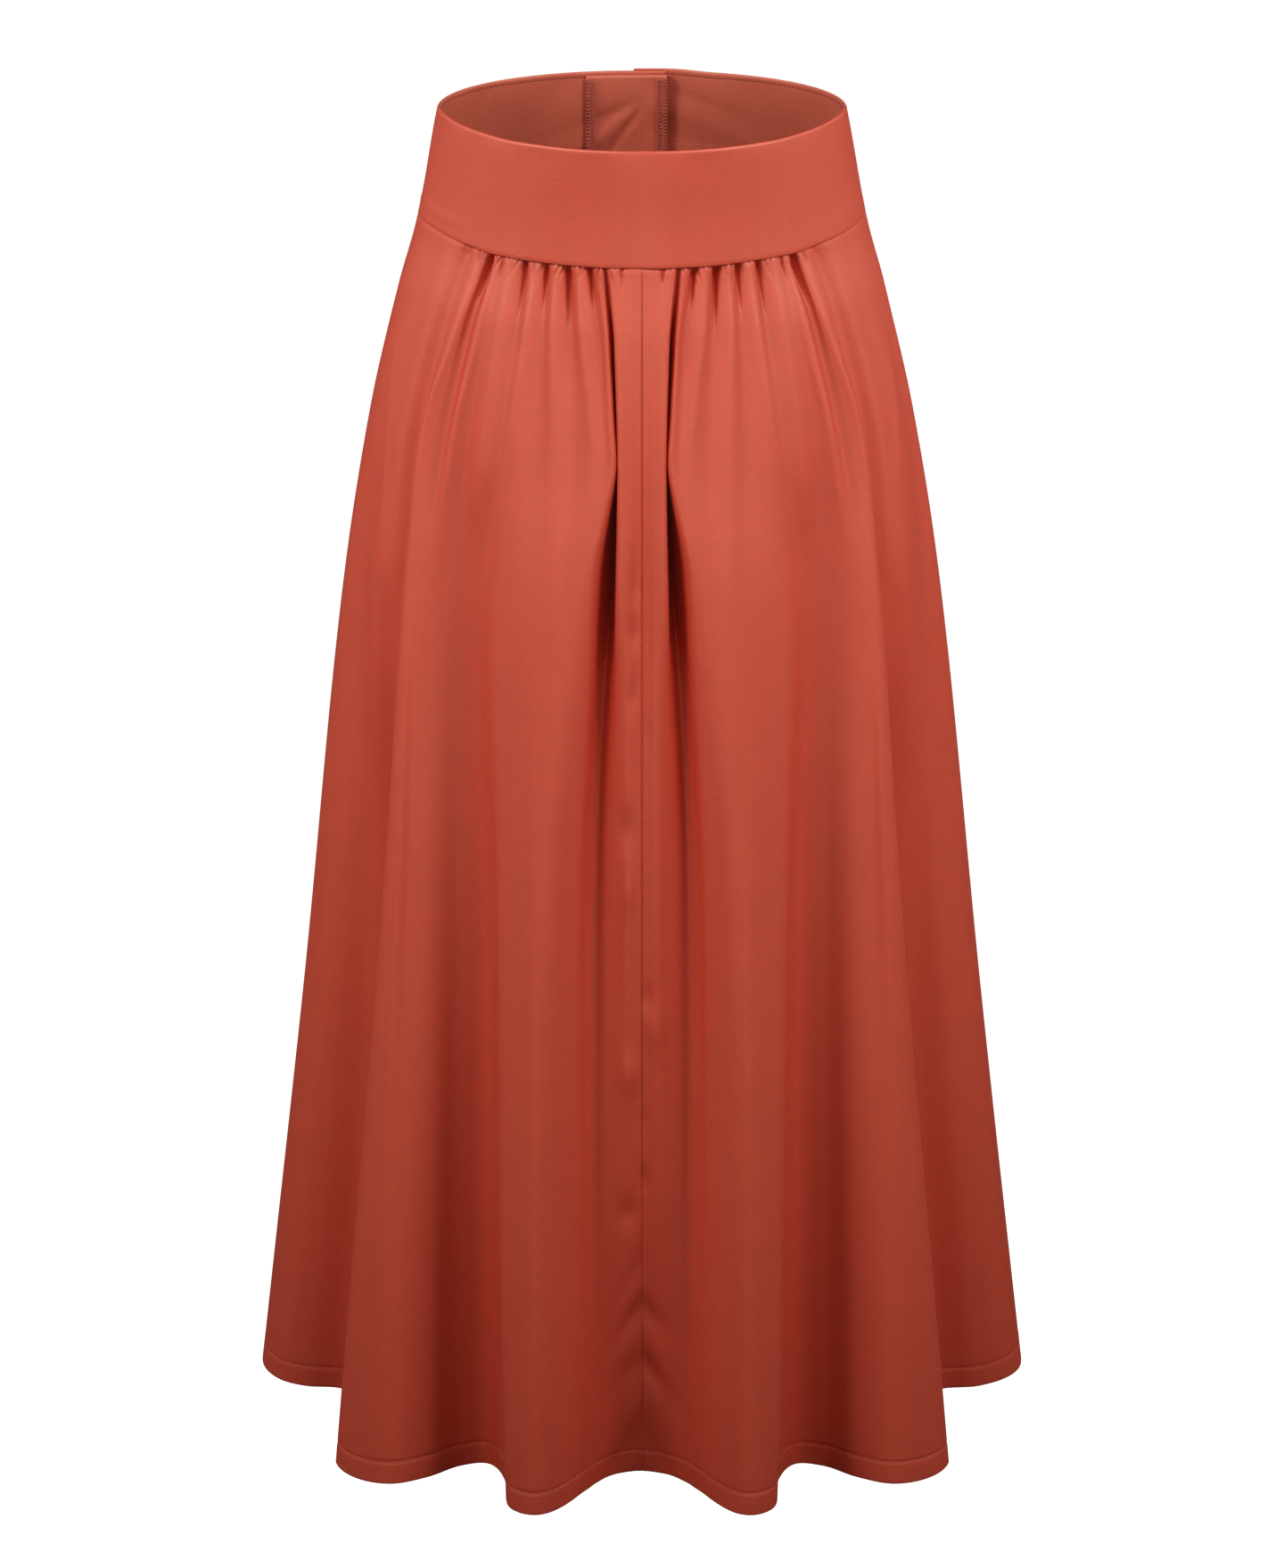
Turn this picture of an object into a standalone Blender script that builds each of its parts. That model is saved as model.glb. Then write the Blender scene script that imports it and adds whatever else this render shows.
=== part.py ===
"""Satin midi skirt with a deep plain waistband, gathers under it and a lapped centre back.

The skirt keeps the hollow form that it has when it is worn. Its origin is the middle of the
waist opening, level with the band's top edge; +Z is up and the front faces -Y.

The cloth is one closed loop of fold lines that run from the waistband to the hem. Every
fold line is a row in FRONT_FOLDS or BACK_FOLDS, and the panels are walls lofted through them.
"""

import math
from collections import namedtuple
from functools import lru_cache

import bmesh
import bpy
from mathutils import Vector

MM = 0.001

# Driving sizes, in millimetres
TOP_TO_HEM = 820.0
BAND_DEPTH = 67.0
CLOTH = 1.2
BAND_WALL = 2.0
SEAM_GAP = 0.3
BAND_OVERHANG = 1.0
HEM_TURN_UP = 15.0
HEM_WALL = 2.0
HEM_STEP = 1.5
SEAM_FULLNESS = 0.35

# The centre-back lap: X of both ends of the band, and how far the upper end stands out
LAP_UPPER_END = -4.8
LAP_UNDER_END = 14.1
LAP_RUN_UP = 30.0
LAP_GAP = 0.5
LAP_SPRING = 2.5

# The overlocked end piece inside the lap's under side
END_PIECE_WIDTH = 48.0
END_PIECE_WALL = 1.0
END_PIECE_MARGIN = 2.0

# The lap strip below the band, and the buttons
STRIP_LEFT = -4.8
STRIP_RIGHT = 20.2
STRIP_ROWS = 8
STRIP_WALL = 1.2
BUTTON_X = 4.6
BUTTON_DROPS = (18.0, 49.0, 108.0, 170.0)
BUTTON_RADIUS = 7.5
BUTTON_RIM = 2.6
BUTTON_DISH = 1.8
BUTTON_SEGMENTS = 20

# How many rows and columns each wall has
COLUMNS_A_SPAN = 2
BAND_STEPS_HALF = 14
BAND_ROWS = 4
END_PIECE_STEPS = 6

# The plain form without folds: half widths and depths at heights below the band's top edge
Section = namedtuple("Section", "drop half_width front_depth back_depth front_power")
SECTIONS = (
    Section(0, 118.0, 88.4, 84.5, 1.65),
    Section(BAND_DEPTH, 130.4, 94.3, 92.0, 1.70),
    Section(107, 142.7, 103.0, 106.0, 1.80),
    Section(179, 160.4, 114.0, 125.0, 1.90),
    Section(292, 179.4, 127.0, 141.0, 2.00),
    Section(559, 210.5, 154.0, 164.0, 2.00),
    Section(TOP_TO_HEM, 243.0, 180.0, 187.0, 2.00),
)
BACK_POWER = 2.0

# Fold lines. A turn is an angle round the body in degrees: 0 at the centre front, 90 at the
# side seam on -X, 180 at the centre back. "out" is how far the line stands out from the
# plain form, in millimetres; a line that sinks in is negative.
TURN_DROPS = (BAND_DEPTH, 180.0, 245.0, 430.0, TOP_TO_HEM)
OUT_DROPS = (BAND_DEPTH, 92.0, 180.0, 245.0, 430.0, TOP_TO_HEM)
Fold = namedtuple(
    "Fold", "name seam hip thigh knee hem out_top out_hip out_thigh out_knee out_hem"
)
FRONT_FOLDS = (
    Fold("centre front seam", 0, 0, 0, 0, 0, 0, 3, 4, -1, -26),
    Fold("strip dent", 7.1, 3.6, 2.6, 2.4, 3.3, -2, 1, 4, -1, -22),
    Fold("strip edge", 9.2, 5.0, 4.6, 4.3, 5.2, 1, 3, 4, -3, -17),
    Fold("groove", 12.3, 6.2, 7.2, 7.2, 7.0, -3, -13, -16, -14, -9),
    Fold("inner lobe, inner edge", 14.1, 6.9, 9.5, 10.6, 8.5, 1, 4, 5, 4, 2),
    Fold("gather 3", 16.6, 8.9, 10.8, 12.2, 9.8, -3, 4, 8, 10, 12),
    Fold("ridge 3", 19.3, 11.4, 12.6, 13.8, 11.2, 1, 5, 9, 13, 22),
    Fold("gather 4", 22.7, 15.2, 15.0, 15.2, 12.7, -3.5, 2.5, 9, 15, 29),
    Fold("inner lobe crest", 25.7, 19.3, 18.0, 17.0, 14.3, 1, 4.5, 9, 16, 32),
    Fold("gather 5", 28.6, 23.3, 21.6, 19.6, 16.1, -3, 2.5, 8, 15, 31),
    Fold("inner lobe, outer edge", 31.6, 29.0, 28.6, 24.4, 18.0, 1, 4, 4, 9, 25),
    Fold("gather 6", 34.7, 31.8, 31.4, 26.8, 20.6, -3, 1, -2, -3, -5),
    Fold("valley between lobes", 38.4, 36.0, 35.0, 30.6, 24.6, 1, 1.5, -5, -9, -15),
    Fold("gather 7", 41.9, 40.8, 39.4, 34.8, 28.5, -1.5, -2, -5, -8, -11),
    Fold("outer lobe, inner edge", 43.5, 43.9, 43.6, 39.4, 31.8, 0.5, 2, 1, 3, 9),
    Fold("gather 8", 45.6, 46.9, 46.6, 42.6, 35.6, -2, -0.5, 3, 9, 26),
    Fold("outer lobe crest", 47.4, 49.6, 49.0, 45.2, 40.0, 0, 2, 5, 13, 31),
    Fold("outer lobe, outer edge", 49.4, 51.7, 51.0, 47.1, 45.0, 1, 4, 6, 14, 26),
    Fold("gather 9", 53.4, 54.8, 53.6, 50.6, 50.5, -2, -1, -1, -8, -1),
    Fold("side valley", 58.6, 60.0, 58.0, 56.5, 58.1, 0.5, 0.5, 0, -18, -33),
    Fold("side fold, front", 66.0, 66.5, 65.0, 64.0, 66.0, 0, 0.5, 1, -15, -37),
    Fold("side fold, brow", 72.0, 72.0, 71.0, 70.5, 71.4, 0, 0, -2, -9, -19),
    Fold("side fold, crest", 78.0, 77.5, 77.0, 76.5, 76.2, 0, 0, -2, -3, -6),
    Fold("side fold, corner", 84.0, 83.5, 83.0, 82.5, 81.6, 0, 0, 0, 0, 0),
)
BACK_FOLDS = (
    Fold("left side seam", 90, 90, 90, 90, 90, 0, 0, 0, 0, 0),
    Fold("left side, back", 101, 101, 101, 101, 100, 0, 0, 0, 0, -1),
    Fold("left hip valley", 112, 112, 112, 112, 111, 0, -1, -3, -9, -23),
    Fold("left back gather 1", 119, 119, 119, 119, 118, -2, -1, -2, -6, -14),
    Fold("left back lobe, edge", 126, 126, 127, 127, 126, 1, 2, 3, 8, 18),
    Fold("left back gather 2", 132, 132, 133, 134, 133, -2.5, 1, 4, 11, 26),
    Fold("left back lobe, inner", 138, 139, 140, 141, 141, 1, 1, 1, 5, 14),
    Fold("left back gather 3", 144, 145, 146, 147, 148, -3, -5, -6, -8, -13),
    Fold("left back valley", 150, 151, 151, 152, 154, 1, -2, -4, -9, -18),
    Fold("left back gather 4", 156, 156, 156, 157, 159, -2.5, -1, 1, 2, 3),
    Fold("left centre lobe", 162, 162, 162, 163, 164, 1, 3, 4, 10, 25),
    Fold("left back gather 5", 168, 168, 168, 169, 170, -2, 0, 2, 5, 16),
    Fold("lap strip, left", 174, 174, 175, 175, 176, 0, 0, 0, 0, -6),
    Fold("centre back seam", 180, 180, 180, 180, 180, 0, 0, 0, -1, -11),
    Fold("lap strip, middle", 187, 187, 186, 186, 185, 0, 0, 0, -1, -12),
    Fold("lap strip, right", 194, 193, 192, 191, 190, 0, 0, 0, 0, -7),
    Fold("right back gather 5", 199, 198, 197, 195, 193.5, -2.5, 0, 2, 4, 9),
    Fold("right centre lobe", 205, 204, 202, 199, 197, 1, 3, 5, 11, 27),
    Fold("right back gather 4", 212, 211, 209, 206, 203, -3, -1, 1, 3, 12),
    Fold("right back valley", 218, 216, 214, 210, 207, 1, -3, -5, -9, -16),
    Fold("right back gather 3", 224, 221, 218, 214, 212, -2.5, -4, -5, -8, -12),
    Fold("right back lobe, inner", 230, 227, 225, 221, 219, 1, 1, 2, 5, 12),
    Fold("right back gather 2", 236, 233, 231, 228, 227, -2.5, 2, 4, 11, 26),
    Fold("right back lobe, edge", 242, 239, 238, 235, 234, 1, 2, 3, 8, 19),
    Fold("right back gather 1", 249, 247, 246, 244, 243, -1.5, -1, -3, -7, -15),
    Fold("right side, back", 259, 259, 259, 259, 260, 0, 0, 0, 0, -2),
    Fold("right side seam", 270, 270, 270, 270, 270, 0, 0, 0, 0, 0),
)

# Heights of the rows of points down a panel, as shares of the length below the band
PANEL_SHARES = (0, 0.014, 0.034, 0.06, 0.09, 0.13, 0.175, 0.23, 0.30, 0.38, 0.47, 0.57, 0.67, 0.77, 0.87)

# Colours and finishes
SATIN_RED = (0.62, 0.125, 0.075, 1.0)
BUTTON_RED = (0.50, 0.085, 0.055, 1.0)
SATIN_ROUGHNESS = 0.42
BUTTON_ROUGHNESS = 0.30


def smooth_between(stations, values, at):
    """A cubic through the values that never overshoots them, evaluated at one place."""
    steps = [b - a for a, b in zip(stations, stations[1:])]
    slopes = [(b - a) / step for a, b, step in zip(values, values[1:], steps)]
    tangents = [slopes[0]]
    for before, after in zip(slopes, slopes[1:]):
        flat = before * after <= 0
        tangents.append(0.0 if flat else 2 * before * after / (before + after))
    tangents.append(slopes[-1])
    span = max(i for i in range(len(steps)) if i == 0 or stations[i] <= at)
    t = (at - stations[span]) / steps[span]
    start, end = values[span], values[span + 1]
    bend_in, bend_out = tangents[span] * steps[span], tangents[span + 1] * steps[span]
    return (
        start * (1 + 2 * t) * (1 - t) ** 2
        + bend_in * t * (1 - t) ** 2
        + end * t * t * (3 - 2 * t)
        + bend_out * t * t * (t - 1)
    )


@lru_cache(maxsize=None)
def plain_sizes(drop):
    """Half width, front depth, back depth and front power of the plain form at a height."""
    drops = [section.drop for section in SECTIONS]
    return tuple(
        smooth_between(drops, [section[column] for section in SECTIONS], drop)
        for column in range(1, len(Section._fields))
    )


def plain_point(turn, drop):
    """Plan position on the plain form, in millimetres."""
    half_width, front_depth, back_depth, front_power = plain_sizes(drop)
    across, along = math.sin(math.radians(turn)), math.cos(math.radians(turn))
    power = front_power if along > 0 else BACK_POWER
    depth = front_depth if along > 0 else back_depth
    return (
        -half_width * math.copysign(abs(across) ** (2 / power), across),
        -depth * math.copysign(abs(along) ** (2 / power), along),
    )


def plain_outward(turn, drop, small=0.3):
    """Unit plan vector that points out of the plain form."""
    ahead, behind = plain_point(turn + small, drop), plain_point(turn - small, drop)
    across, along = ahead[0] - behind[0], ahead[1] - behind[1]
    length = math.hypot(across, along)
    return -along / length, across / length


def mirrored(fold):
    """The same fold line on the other half of the front."""
    turns = {level: 360 - getattr(fold, level) for level in ("seam", "hip", "thigh", "knee", "hem")}
    return fold._replace(name=fold.name + ", +X side", **turns)


FOLD_LOOP = FRONT_FOLDS + BACK_FOLDS + tuple(mirrored(fold) for fold in reversed(FRONT_FOLDS[1:]))
LEFT_SIDE = len(FRONT_FOLDS)
CENTRE_BACK = LEFT_SIDE + [fold.name for fold in BACK_FOLDS].index("centre back seam")
RIGHT_SIDE = LEFT_SIDE + len(BACK_FOLDS) - 1
FULL_TURN = len(FOLD_LOOP)


@lru_cache(maxsize=None)
def fold_points(drop):
    """Plan position of every fold line at one height, round the whole skirt."""
    points = []
    for fold in FOLD_LOOP:
        name, *levels = fold
        turns, outs = levels[: len(TURN_DROPS)], levels[len(TURN_DROPS) :]
        turn = smooth_between(TURN_DROPS, turns, drop)
        out = smooth_between(OUT_DROPS, [SEAM_FULLNESS * fold.out_top, *outs], drop)
        x, y = plain_point(turn, drop)
        out_x, out_y = plain_outward(turn, drop)
        points.append((x + out * out_x, y + out * out_y))
    return points


def loop_point(points, place):
    """A point on the closed centripetal curve through the points; place counts points."""
    first = math.floor(place)
    share = place - first
    corners = [points[(first + step) % len(points)] for step in (-1, 0, 1, 2)]
    knots = [0.0]
    for a, b in zip(corners, corners[1:]):
        knots.append(knots[-1] + math.sqrt(math.dist(a, b)))
    at = knots[1] + share * (knots[2] - knots[1])

    def blend(a, b, start, end):
        weight = (at - start) / (end - start)
        return tuple(p + weight * (q - p) for p, q in zip(a, b))

    lines = [blend(corners[i], corners[i + 1], knots[i], knots[i + 1]) for i in range(3)]
    arcs = [blend(lines[i], lines[i + 1], knots[i], knots[i + 2]) for i in range(2)]
    return blend(arcs[0], arcs[1], knots[1], knots[2])


def cloth_point(place, drop):
    """Outer face of the skirt's cloth at a place round the fold loop, in millimetres."""
    x, y = loop_point(fold_points(drop), place)
    return Vector((x, y, -drop))


def band_point(turn, drop):
    """Outer face of the waistband."""
    x, y = plain_point(turn, drop)
    out_x, out_y = plain_outward(turn, drop)
    return Vector((x + BAND_OVERHANG * out_x, y + BAND_OVERHANG * out_y, -drop))


def face_axes(surface, place, drop, small=0.05, down=0.5):
    """Unit vectors along the cloth and out of it, from neighbouring points of the surface."""
    lowest = TOP_TO_HEM - down
    middle = min(max(drop, down), lowest)
    along = (surface(place + small, drop) - surface(place - small, drop)).normalized()
    below = surface(place, middle + down) - surface(place, middle - down)
    return along, along.cross(below).normalized()


def lerp(start, end, share):
    return start + share * (end - start)


def build_wall(name, rows, material):
    """A closed wall from rows of (outer point, inner point) pairs, all rows equally long."""
    mesh = bpy.data.meshes.new(name)
    wall = bmesh.new()
    skins = [
        [[wall.verts.new(pair[side] * MM) for pair in row] for row in rows] for side in (0, 1)
    ]
    outer, inner = skins
    last_row, last_column = len(rows) - 1, len(rows[0]) - 1
    for i in range(last_row):
        for j in range(last_column):
            wall.faces.new((outer[i][j], outer[i + 1][j], outer[i + 1][j + 1], outer[i][j + 1]))
            wall.faces.new((inner[i][j], inner[i][j + 1], inner[i + 1][j + 1], inner[i + 1][j]))
    for j in range(last_column):
        for i in (0, last_row):
            wall.faces.new((outer[i][j], outer[i][j + 1], inner[i][j + 1], inner[i][j]))
    for i in range(last_row):
        for j in (0, last_column):
            wall.faces.new((outer[i][j], inner[i][j], inner[i + 1][j], outer[i + 1][j]))
    bmesh.ops.recalc_face_normals(wall, faces=wall.faces)
    wall.to_mesh(mesh)
    wall.free()
    mesh.shade_smooth()
    mesh.set_sharp_from_angle(angle=math.radians(50))
    piece = bpy.data.objects.new(name, mesh)
    piece.data.materials.append(material)
    return piece


def level_step(out):
    """The level vector that moves a point one millimetre off a face whose unit normal is out."""
    level = Vector((out.x, out.y, 0))
    return level / level.length_squared


def wall_row(surface, places, drop, thickness, lift=0.0):
    """Outer and inner points across a piece, with half a seam gap taken off each end."""
    row = []
    for column, place in enumerate(places):
        point = surface(place, drop)
        along, normal = face_axes(surface, place, drop)
        out = level_step(normal)
        if column == 0:
            point += along * SEAM_GAP / 2
        elif column == len(places) - 1:
            point -= along * SEAM_GAP / 2
        row.append((point + out * lift, point + out * (lift - thickness)))
    return row


def panel_places(first, last):
    """Places round the fold loop for one panel's columns."""
    count = (last - first) * COLUMNS_A_SPAN
    return [first + column / COLUMNS_A_SPAN for column in range(count + 1)]


def panel_drops():
    """Heights of the panels' rows of points above the hem's turn-up."""
    return [lerp(BAND_DEPTH + SEAM_GAP, TOP_TO_HEM, share) for share in PANEL_SHARES]


def skirt_panel(name, first, last, material):
    """One skirt panel from the band to the hem, thicker where the hem is turned up."""
    levels = [(drop, CLOTH) for drop in panel_drops()]
    turn_up = TOP_TO_HEM - HEM_TURN_UP
    levels += [(turn_up - HEM_STEP, CLOTH), (turn_up, HEM_WALL), (TOP_TO_HEM, HEM_WALL)]
    places = panel_places(first, last)
    rows = [wall_row(cloth_point, places, drop, thick) for drop, thick in levels]
    return build_wall(name, rows, material)


def even_steps(first, last, count):
    return [lerp(first, last, step / count) for step in range(count + 1)]


def back_turn_at(x, drop):
    """The turn at which the plain back form has this X."""
    half_width = plain_sizes(drop)[0]
    return 180 + math.degrees(math.asin(x / half_width))


def waistband_front(material):
    rows = [
        wall_row(band_point, even_steps(-90, 90, 2 * BAND_STEPS_HALF), drop, BAND_WALL)
        for drop in even_steps(0, BAND_DEPTH, BAND_ROWS)
    ]
    return build_wall("waistband_front", rows, material)


def waistband_back_left(material):
    """The half that ends under the lap."""
    rows = []
    for drop in even_steps(0, BAND_DEPTH, BAND_ROWS):
        turns = even_steps(90, back_turn_at(LAP_UNDER_END, drop), BAND_STEPS_HALF)
        rows.append(wall_row(band_point, turns, drop, BAND_WALL))
    return build_wall("waistband_back_left", rows, material)


def lap_lift(x, drop):
    """How far the upper side of the lap stands out; its end springs off a little at the top."""
    run = min(max((LAP_UNDER_END + LAP_RUN_UP - x) / LAP_RUN_UP, 0.0), 1.0)
    spring = LAP_SPRING * (1 - drop / BAND_DEPTH)
    return (BAND_WALL + LAP_GAP + spring) * run * run * (3 - 2 * run)


def waistband_back_right(material):
    """The half whose end lies over the other."""
    rows = []
    for drop in even_steps(0, BAND_DEPTH, BAND_ROWS):
        turns = even_steps(back_turn_at(LAP_UPPER_END, drop), 270, BAND_STEPS_HALF + 4)
        row = []
        for outer, inner in wall_row(band_point, turns, drop, BAND_WALL):
            out = (outer - inner).normalized() * lap_lift(outer.x, drop)
            row.append((outer + out, inner + out))
        rows.append(row)
    return build_wall("waistband_back_right", rows, material)


def waistband_underlap(material):
    """The overlocked end piece that lies on the inner face of the lap's under side."""
    rows = []
    for drop in even_steps(END_PIECE_MARGIN, BAND_DEPTH - END_PIECE_MARGIN, BAND_ROWS):
        first = back_turn_at(LAP_UNDER_END - END_PIECE_WIDTH, drop)
        last = back_turn_at(LAP_UNDER_END, drop)
        turns = even_steps(first, last, END_PIECE_STEPS)
        lift = -(BAND_WALL + SEAM_GAP)
        rows.append(wall_row(band_point, turns, drop, END_PIECE_WALL, lift))
    return build_wall("waistband_underlap", rows, material)


def place_at_x(x, drop):
    """The place on the back of the fold loop where the cloth has this X."""
    low, high = CENTRE_BACK - 1.5, CENTRE_BACK + 3.0
    for _ in range(30):
        middle = (low + high) / 2
        if cloth_point(middle, drop).x < x:
            low = middle
        else:
            high = middle
    return (low + high) / 2


def back_placket(material):
    """The lap strip over the opening at the top of the centre-back seam.

    It lies on the back panels, so it is made from their own rows and columns, moved out.
    """
    rows = []
    shared = panel_places(CENTRE_BACK, CENTRE_BACK + 1)
    for drop in panel_drops()[:STRIP_ROWS]:
        places = [place_at_x(STRIP_LEFT, drop), *shared, place_at_x(STRIP_RIGHT, drop)]
        rows.append(wall_row(cloth_point, places, drop, STRIP_WALL, STRIP_WALL + SEAM_GAP))
    return build_wall("back_placket", rows, material)


def button_profile():
    """Radius and height of the button's section, from the middle of its face round to its back."""
    rim, dish = BUTTON_RIM, BUTTON_DISH
    return (
        (0.0, dish),
        (BUTTON_RADIUS - 2.8, dish),
        (BUTTON_RADIUS - 2.0, rim - 0.3),
        (BUTTON_RADIUS - 0.9, rim),
        (BUTTON_RADIUS - 0.1, rim - 0.4),
        (BUTTON_RADIUS, 0.9),
        (BUTTON_RADIUS - 0.8, 0.0),
        (0.0, 0.0),
    )


def button(name, centre, out, material):
    """A flat dished button, turned round the axis that points out of the lap."""
    mesh = bpy.data.meshes.new(name)
    profile = bmesh.new()
    points = [profile.verts.new((radius * MM, 0, height * MM)) for radius, height in button_profile()]
    for a, b in zip(points, points[1:]):
        profile.edges.new((a, b))
    profile.to_mesh(mesh)
    profile.free()
    piece = bpy.data.objects.new(name, mesh)
    turned = piece.modifiers.new("turned", "SCREW")
    turned.steps = turned.render_steps = BUTTON_SEGMENTS
    turned.use_merge_vertices = True
    turned.merge_threshold = 0.00001
    piece.location = (centre + out * SEAM_GAP) * MM
    piece.rotation_mode = "QUATERNION"
    piece.rotation_quaternion = out.to_track_quat("Z", "Y")
    piece.data.materials.append(material)
    return piece


def buttons(material):
    """Two buttons on the band's lap and two on the strip below it."""
    made = []
    for number, drop in enumerate(BUTTON_DROPS, 1):
        if drop < BAND_DEPTH:
            turn = back_turn_at(BUTTON_X, drop)
            point = band_point(turn, drop)
            out = face_axes(band_point, turn, drop)[1]
            lift = lap_lift(BUTTON_X, drop)
        else:
            place = place_at_x(BUTTON_X, drop)
            point = cloth_point(place, drop)
            out = face_axes(cloth_point, place, drop)[1]
            lift = STRIP_WALL + SEAM_GAP
        made.append(button(f"button_{number}", point + out * lift, out, material))
    return made


def plain_material(name, colour, roughness):
    """A coloured material that is not metallic."""
    material = bpy.data.materials.new(name)
    material.use_nodes = True
    shader = material.node_tree.nodes["Principled BSDF"]
    shader.inputs["Base Color"].default_value = colour
    shader.inputs["Roughness"].default_value = roughness
    shader.inputs["Metallic"].default_value = 0.0
    return material


def satin(piece_name):
    return plain_material(piece_name + "_satin", SATIN_RED, SATIN_ROUGHNESS)


def clear_scene():
    for thing in list(bpy.data.objects):
        bpy.data.objects.remove(thing, do_unlink=True)


def build_skirt():
    clear_scene()
    collection = bpy.data.collections.new("midi_skirt")
    bpy.context.scene.collection.children.link(collection)
    panels = (
        ("front_left", 0, LEFT_SIDE),
        ("back_left", LEFT_SIDE, CENTRE_BACK),
        ("back_right", CENTRE_BACK, RIGHT_SIDE),
        ("front_right", RIGHT_SIDE, FULL_TURN),
    )
    makers = (waistband_front, waistband_back_left, waistband_back_right, waistband_underlap, back_placket)
    pieces = [skirt_panel(name, first, last, satin(name)) for name, first, last in panels]
    pieces += [maker(satin(maker.__name__)) for maker in makers]
    pieces += buttons(plain_material("button_plastic", BUTTON_RED, BUTTON_ROUGHNESS))
    for piece in pieces:
        collection.objects.link(piece)


build_skirt()
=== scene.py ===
"""Satin midi skirt: its cloth, sewing and buttons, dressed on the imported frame.

Lengths here are in millimetres unless a name says otherwise, and meshes are made in metres.
The skirt stands in its worn form: +Z is up, the front faces -Y and the origin is the middle
of the waist opening. A turn is an angle round the body in degrees, 0 at the centre front and
90 at the side seam on -X; a drop is a distance below the waistband's top edge.
"""

import math
import random
from collections import namedtuple

import bpy
import numpy as np
from bpy.props import FloatProperty, FloatVectorProperty, PointerProperty
from bpy.types import Operator, Panel, PropertyGroup
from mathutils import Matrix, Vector


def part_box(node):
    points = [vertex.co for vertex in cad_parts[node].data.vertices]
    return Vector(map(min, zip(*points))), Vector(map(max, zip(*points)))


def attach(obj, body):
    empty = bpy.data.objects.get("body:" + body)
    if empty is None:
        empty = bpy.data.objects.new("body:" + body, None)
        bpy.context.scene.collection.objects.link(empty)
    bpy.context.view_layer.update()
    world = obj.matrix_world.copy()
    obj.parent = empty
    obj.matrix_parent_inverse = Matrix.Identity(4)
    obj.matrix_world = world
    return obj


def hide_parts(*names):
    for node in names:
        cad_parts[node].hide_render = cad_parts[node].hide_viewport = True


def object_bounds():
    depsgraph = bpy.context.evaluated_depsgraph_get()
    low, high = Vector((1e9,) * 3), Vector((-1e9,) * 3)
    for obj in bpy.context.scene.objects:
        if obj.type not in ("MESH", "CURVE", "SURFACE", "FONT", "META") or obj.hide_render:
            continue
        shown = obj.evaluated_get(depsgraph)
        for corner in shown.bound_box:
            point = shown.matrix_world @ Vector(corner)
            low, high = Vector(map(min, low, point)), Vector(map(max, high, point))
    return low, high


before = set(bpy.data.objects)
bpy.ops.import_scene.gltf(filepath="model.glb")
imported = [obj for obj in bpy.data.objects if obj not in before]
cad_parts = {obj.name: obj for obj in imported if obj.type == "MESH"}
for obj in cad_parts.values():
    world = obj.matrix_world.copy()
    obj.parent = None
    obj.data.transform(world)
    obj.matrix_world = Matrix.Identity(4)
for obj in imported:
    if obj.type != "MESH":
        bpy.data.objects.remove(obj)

bl_info = {
    "name": "Satin midi skirt",
    "version": (1, 0, 0),
    "blender": (4, 5, 0),
    "location": "3D View > Sidebar > Skirt",
    "description": "Makes the cloth, sewing and buttons of a gathered satin skirt",
    "category": "Object",
}

MM = 0.001
CAD_BOX = [list(corner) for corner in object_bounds()]
TOP_TO_HEM = -CAD_BOX[0][2] / MM
BAND_DEPTH = -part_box("waistband_front")[0][2] / MM

# --- Sizes and colours that a user would change ---


def hex_to_linear(code):
    """An sRGB hex colour such as #C9604A as linear red, green and blue."""
    parts = [int(code[i : i + 2], 16) / 255 for i in (1, 3, 5)]
    return tuple(c / 12.92 if c <= 0.04045 else ((c + 0.055) / 1.055) ** 2.4 for c in parts)


def number(name, description, default, **kind):
    return FloatProperty(name=name, description=description, default=default, **kind)


def length(name, description, default_mm):
    """A length property, shown in the scene's own unit."""
    return number(name, description, default_mm * MM, unit="LENGTH", precision=5)


def share(name, description, default):
    return number(name, description, default, subtype="FACTOR")


def power(name, description, watts):
    return number(name, description, watts, unit="POWER")


def colour(name, description, code):
    return FloatVectorProperty(
        name=name, description=description, default=hex_to_linear(code), subtype="COLOR", size=3
    )


class SkirtCloth(PropertyGroup):
    """Sizes and colours of the satin."""

    gather_depth: share("Gather depth", "How deep the gathers under the band are pressed", 1.0)
    crease_height: share("Crease height", "How far the soft fold edges stand out", 1.0)
    band_wall: length("Band thickness", "Waistband with its facing and interfacing", 2.0)
    band_overhang: length("Band overhang", "How far the band stands out over the seam", 0.7)
    hem_depth: length("Hem depth", "Depth of the turn-up at the hem", 15.0)
    hem_wall: length("Hem thickness", "The turn-up folded on the cloth", 1.2)
    satin: colour("Satin", "The cloth's right side", "#C43E27")
    satin_back: colour("Satin back", "The cloth's duller wrong side", "#BB503A")


class SkirtSewing(PropertyGroup):
    """Sizes and colours of the stitches."""

    thread: length("Thread", "Thickness of the sewing thread", 0.34)
    stitch: length("Stitch", "Length of one stitch", 2.1)
    pitch: length("Stitch spacing", "From one stitch to the next", 2.9)
    thread_colour: colour("Thread colour", "Thread of the hem and the lap strip", "#C66A54")
    seam_thread_colour: colour("Seam thread colour", "Needle thread that shows in the seam", "#A3402C")
    inner_thread_colour: colour("Inner thread colour", "Understitching inside the band", "#5A1D12")
    overlock_colour: colour("Overlock colour", "Looser thread over the cut edges", "#A9503C")
    button_colour: colour("Button colour", "Moulded buttons", "#9C3B2C")


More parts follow.
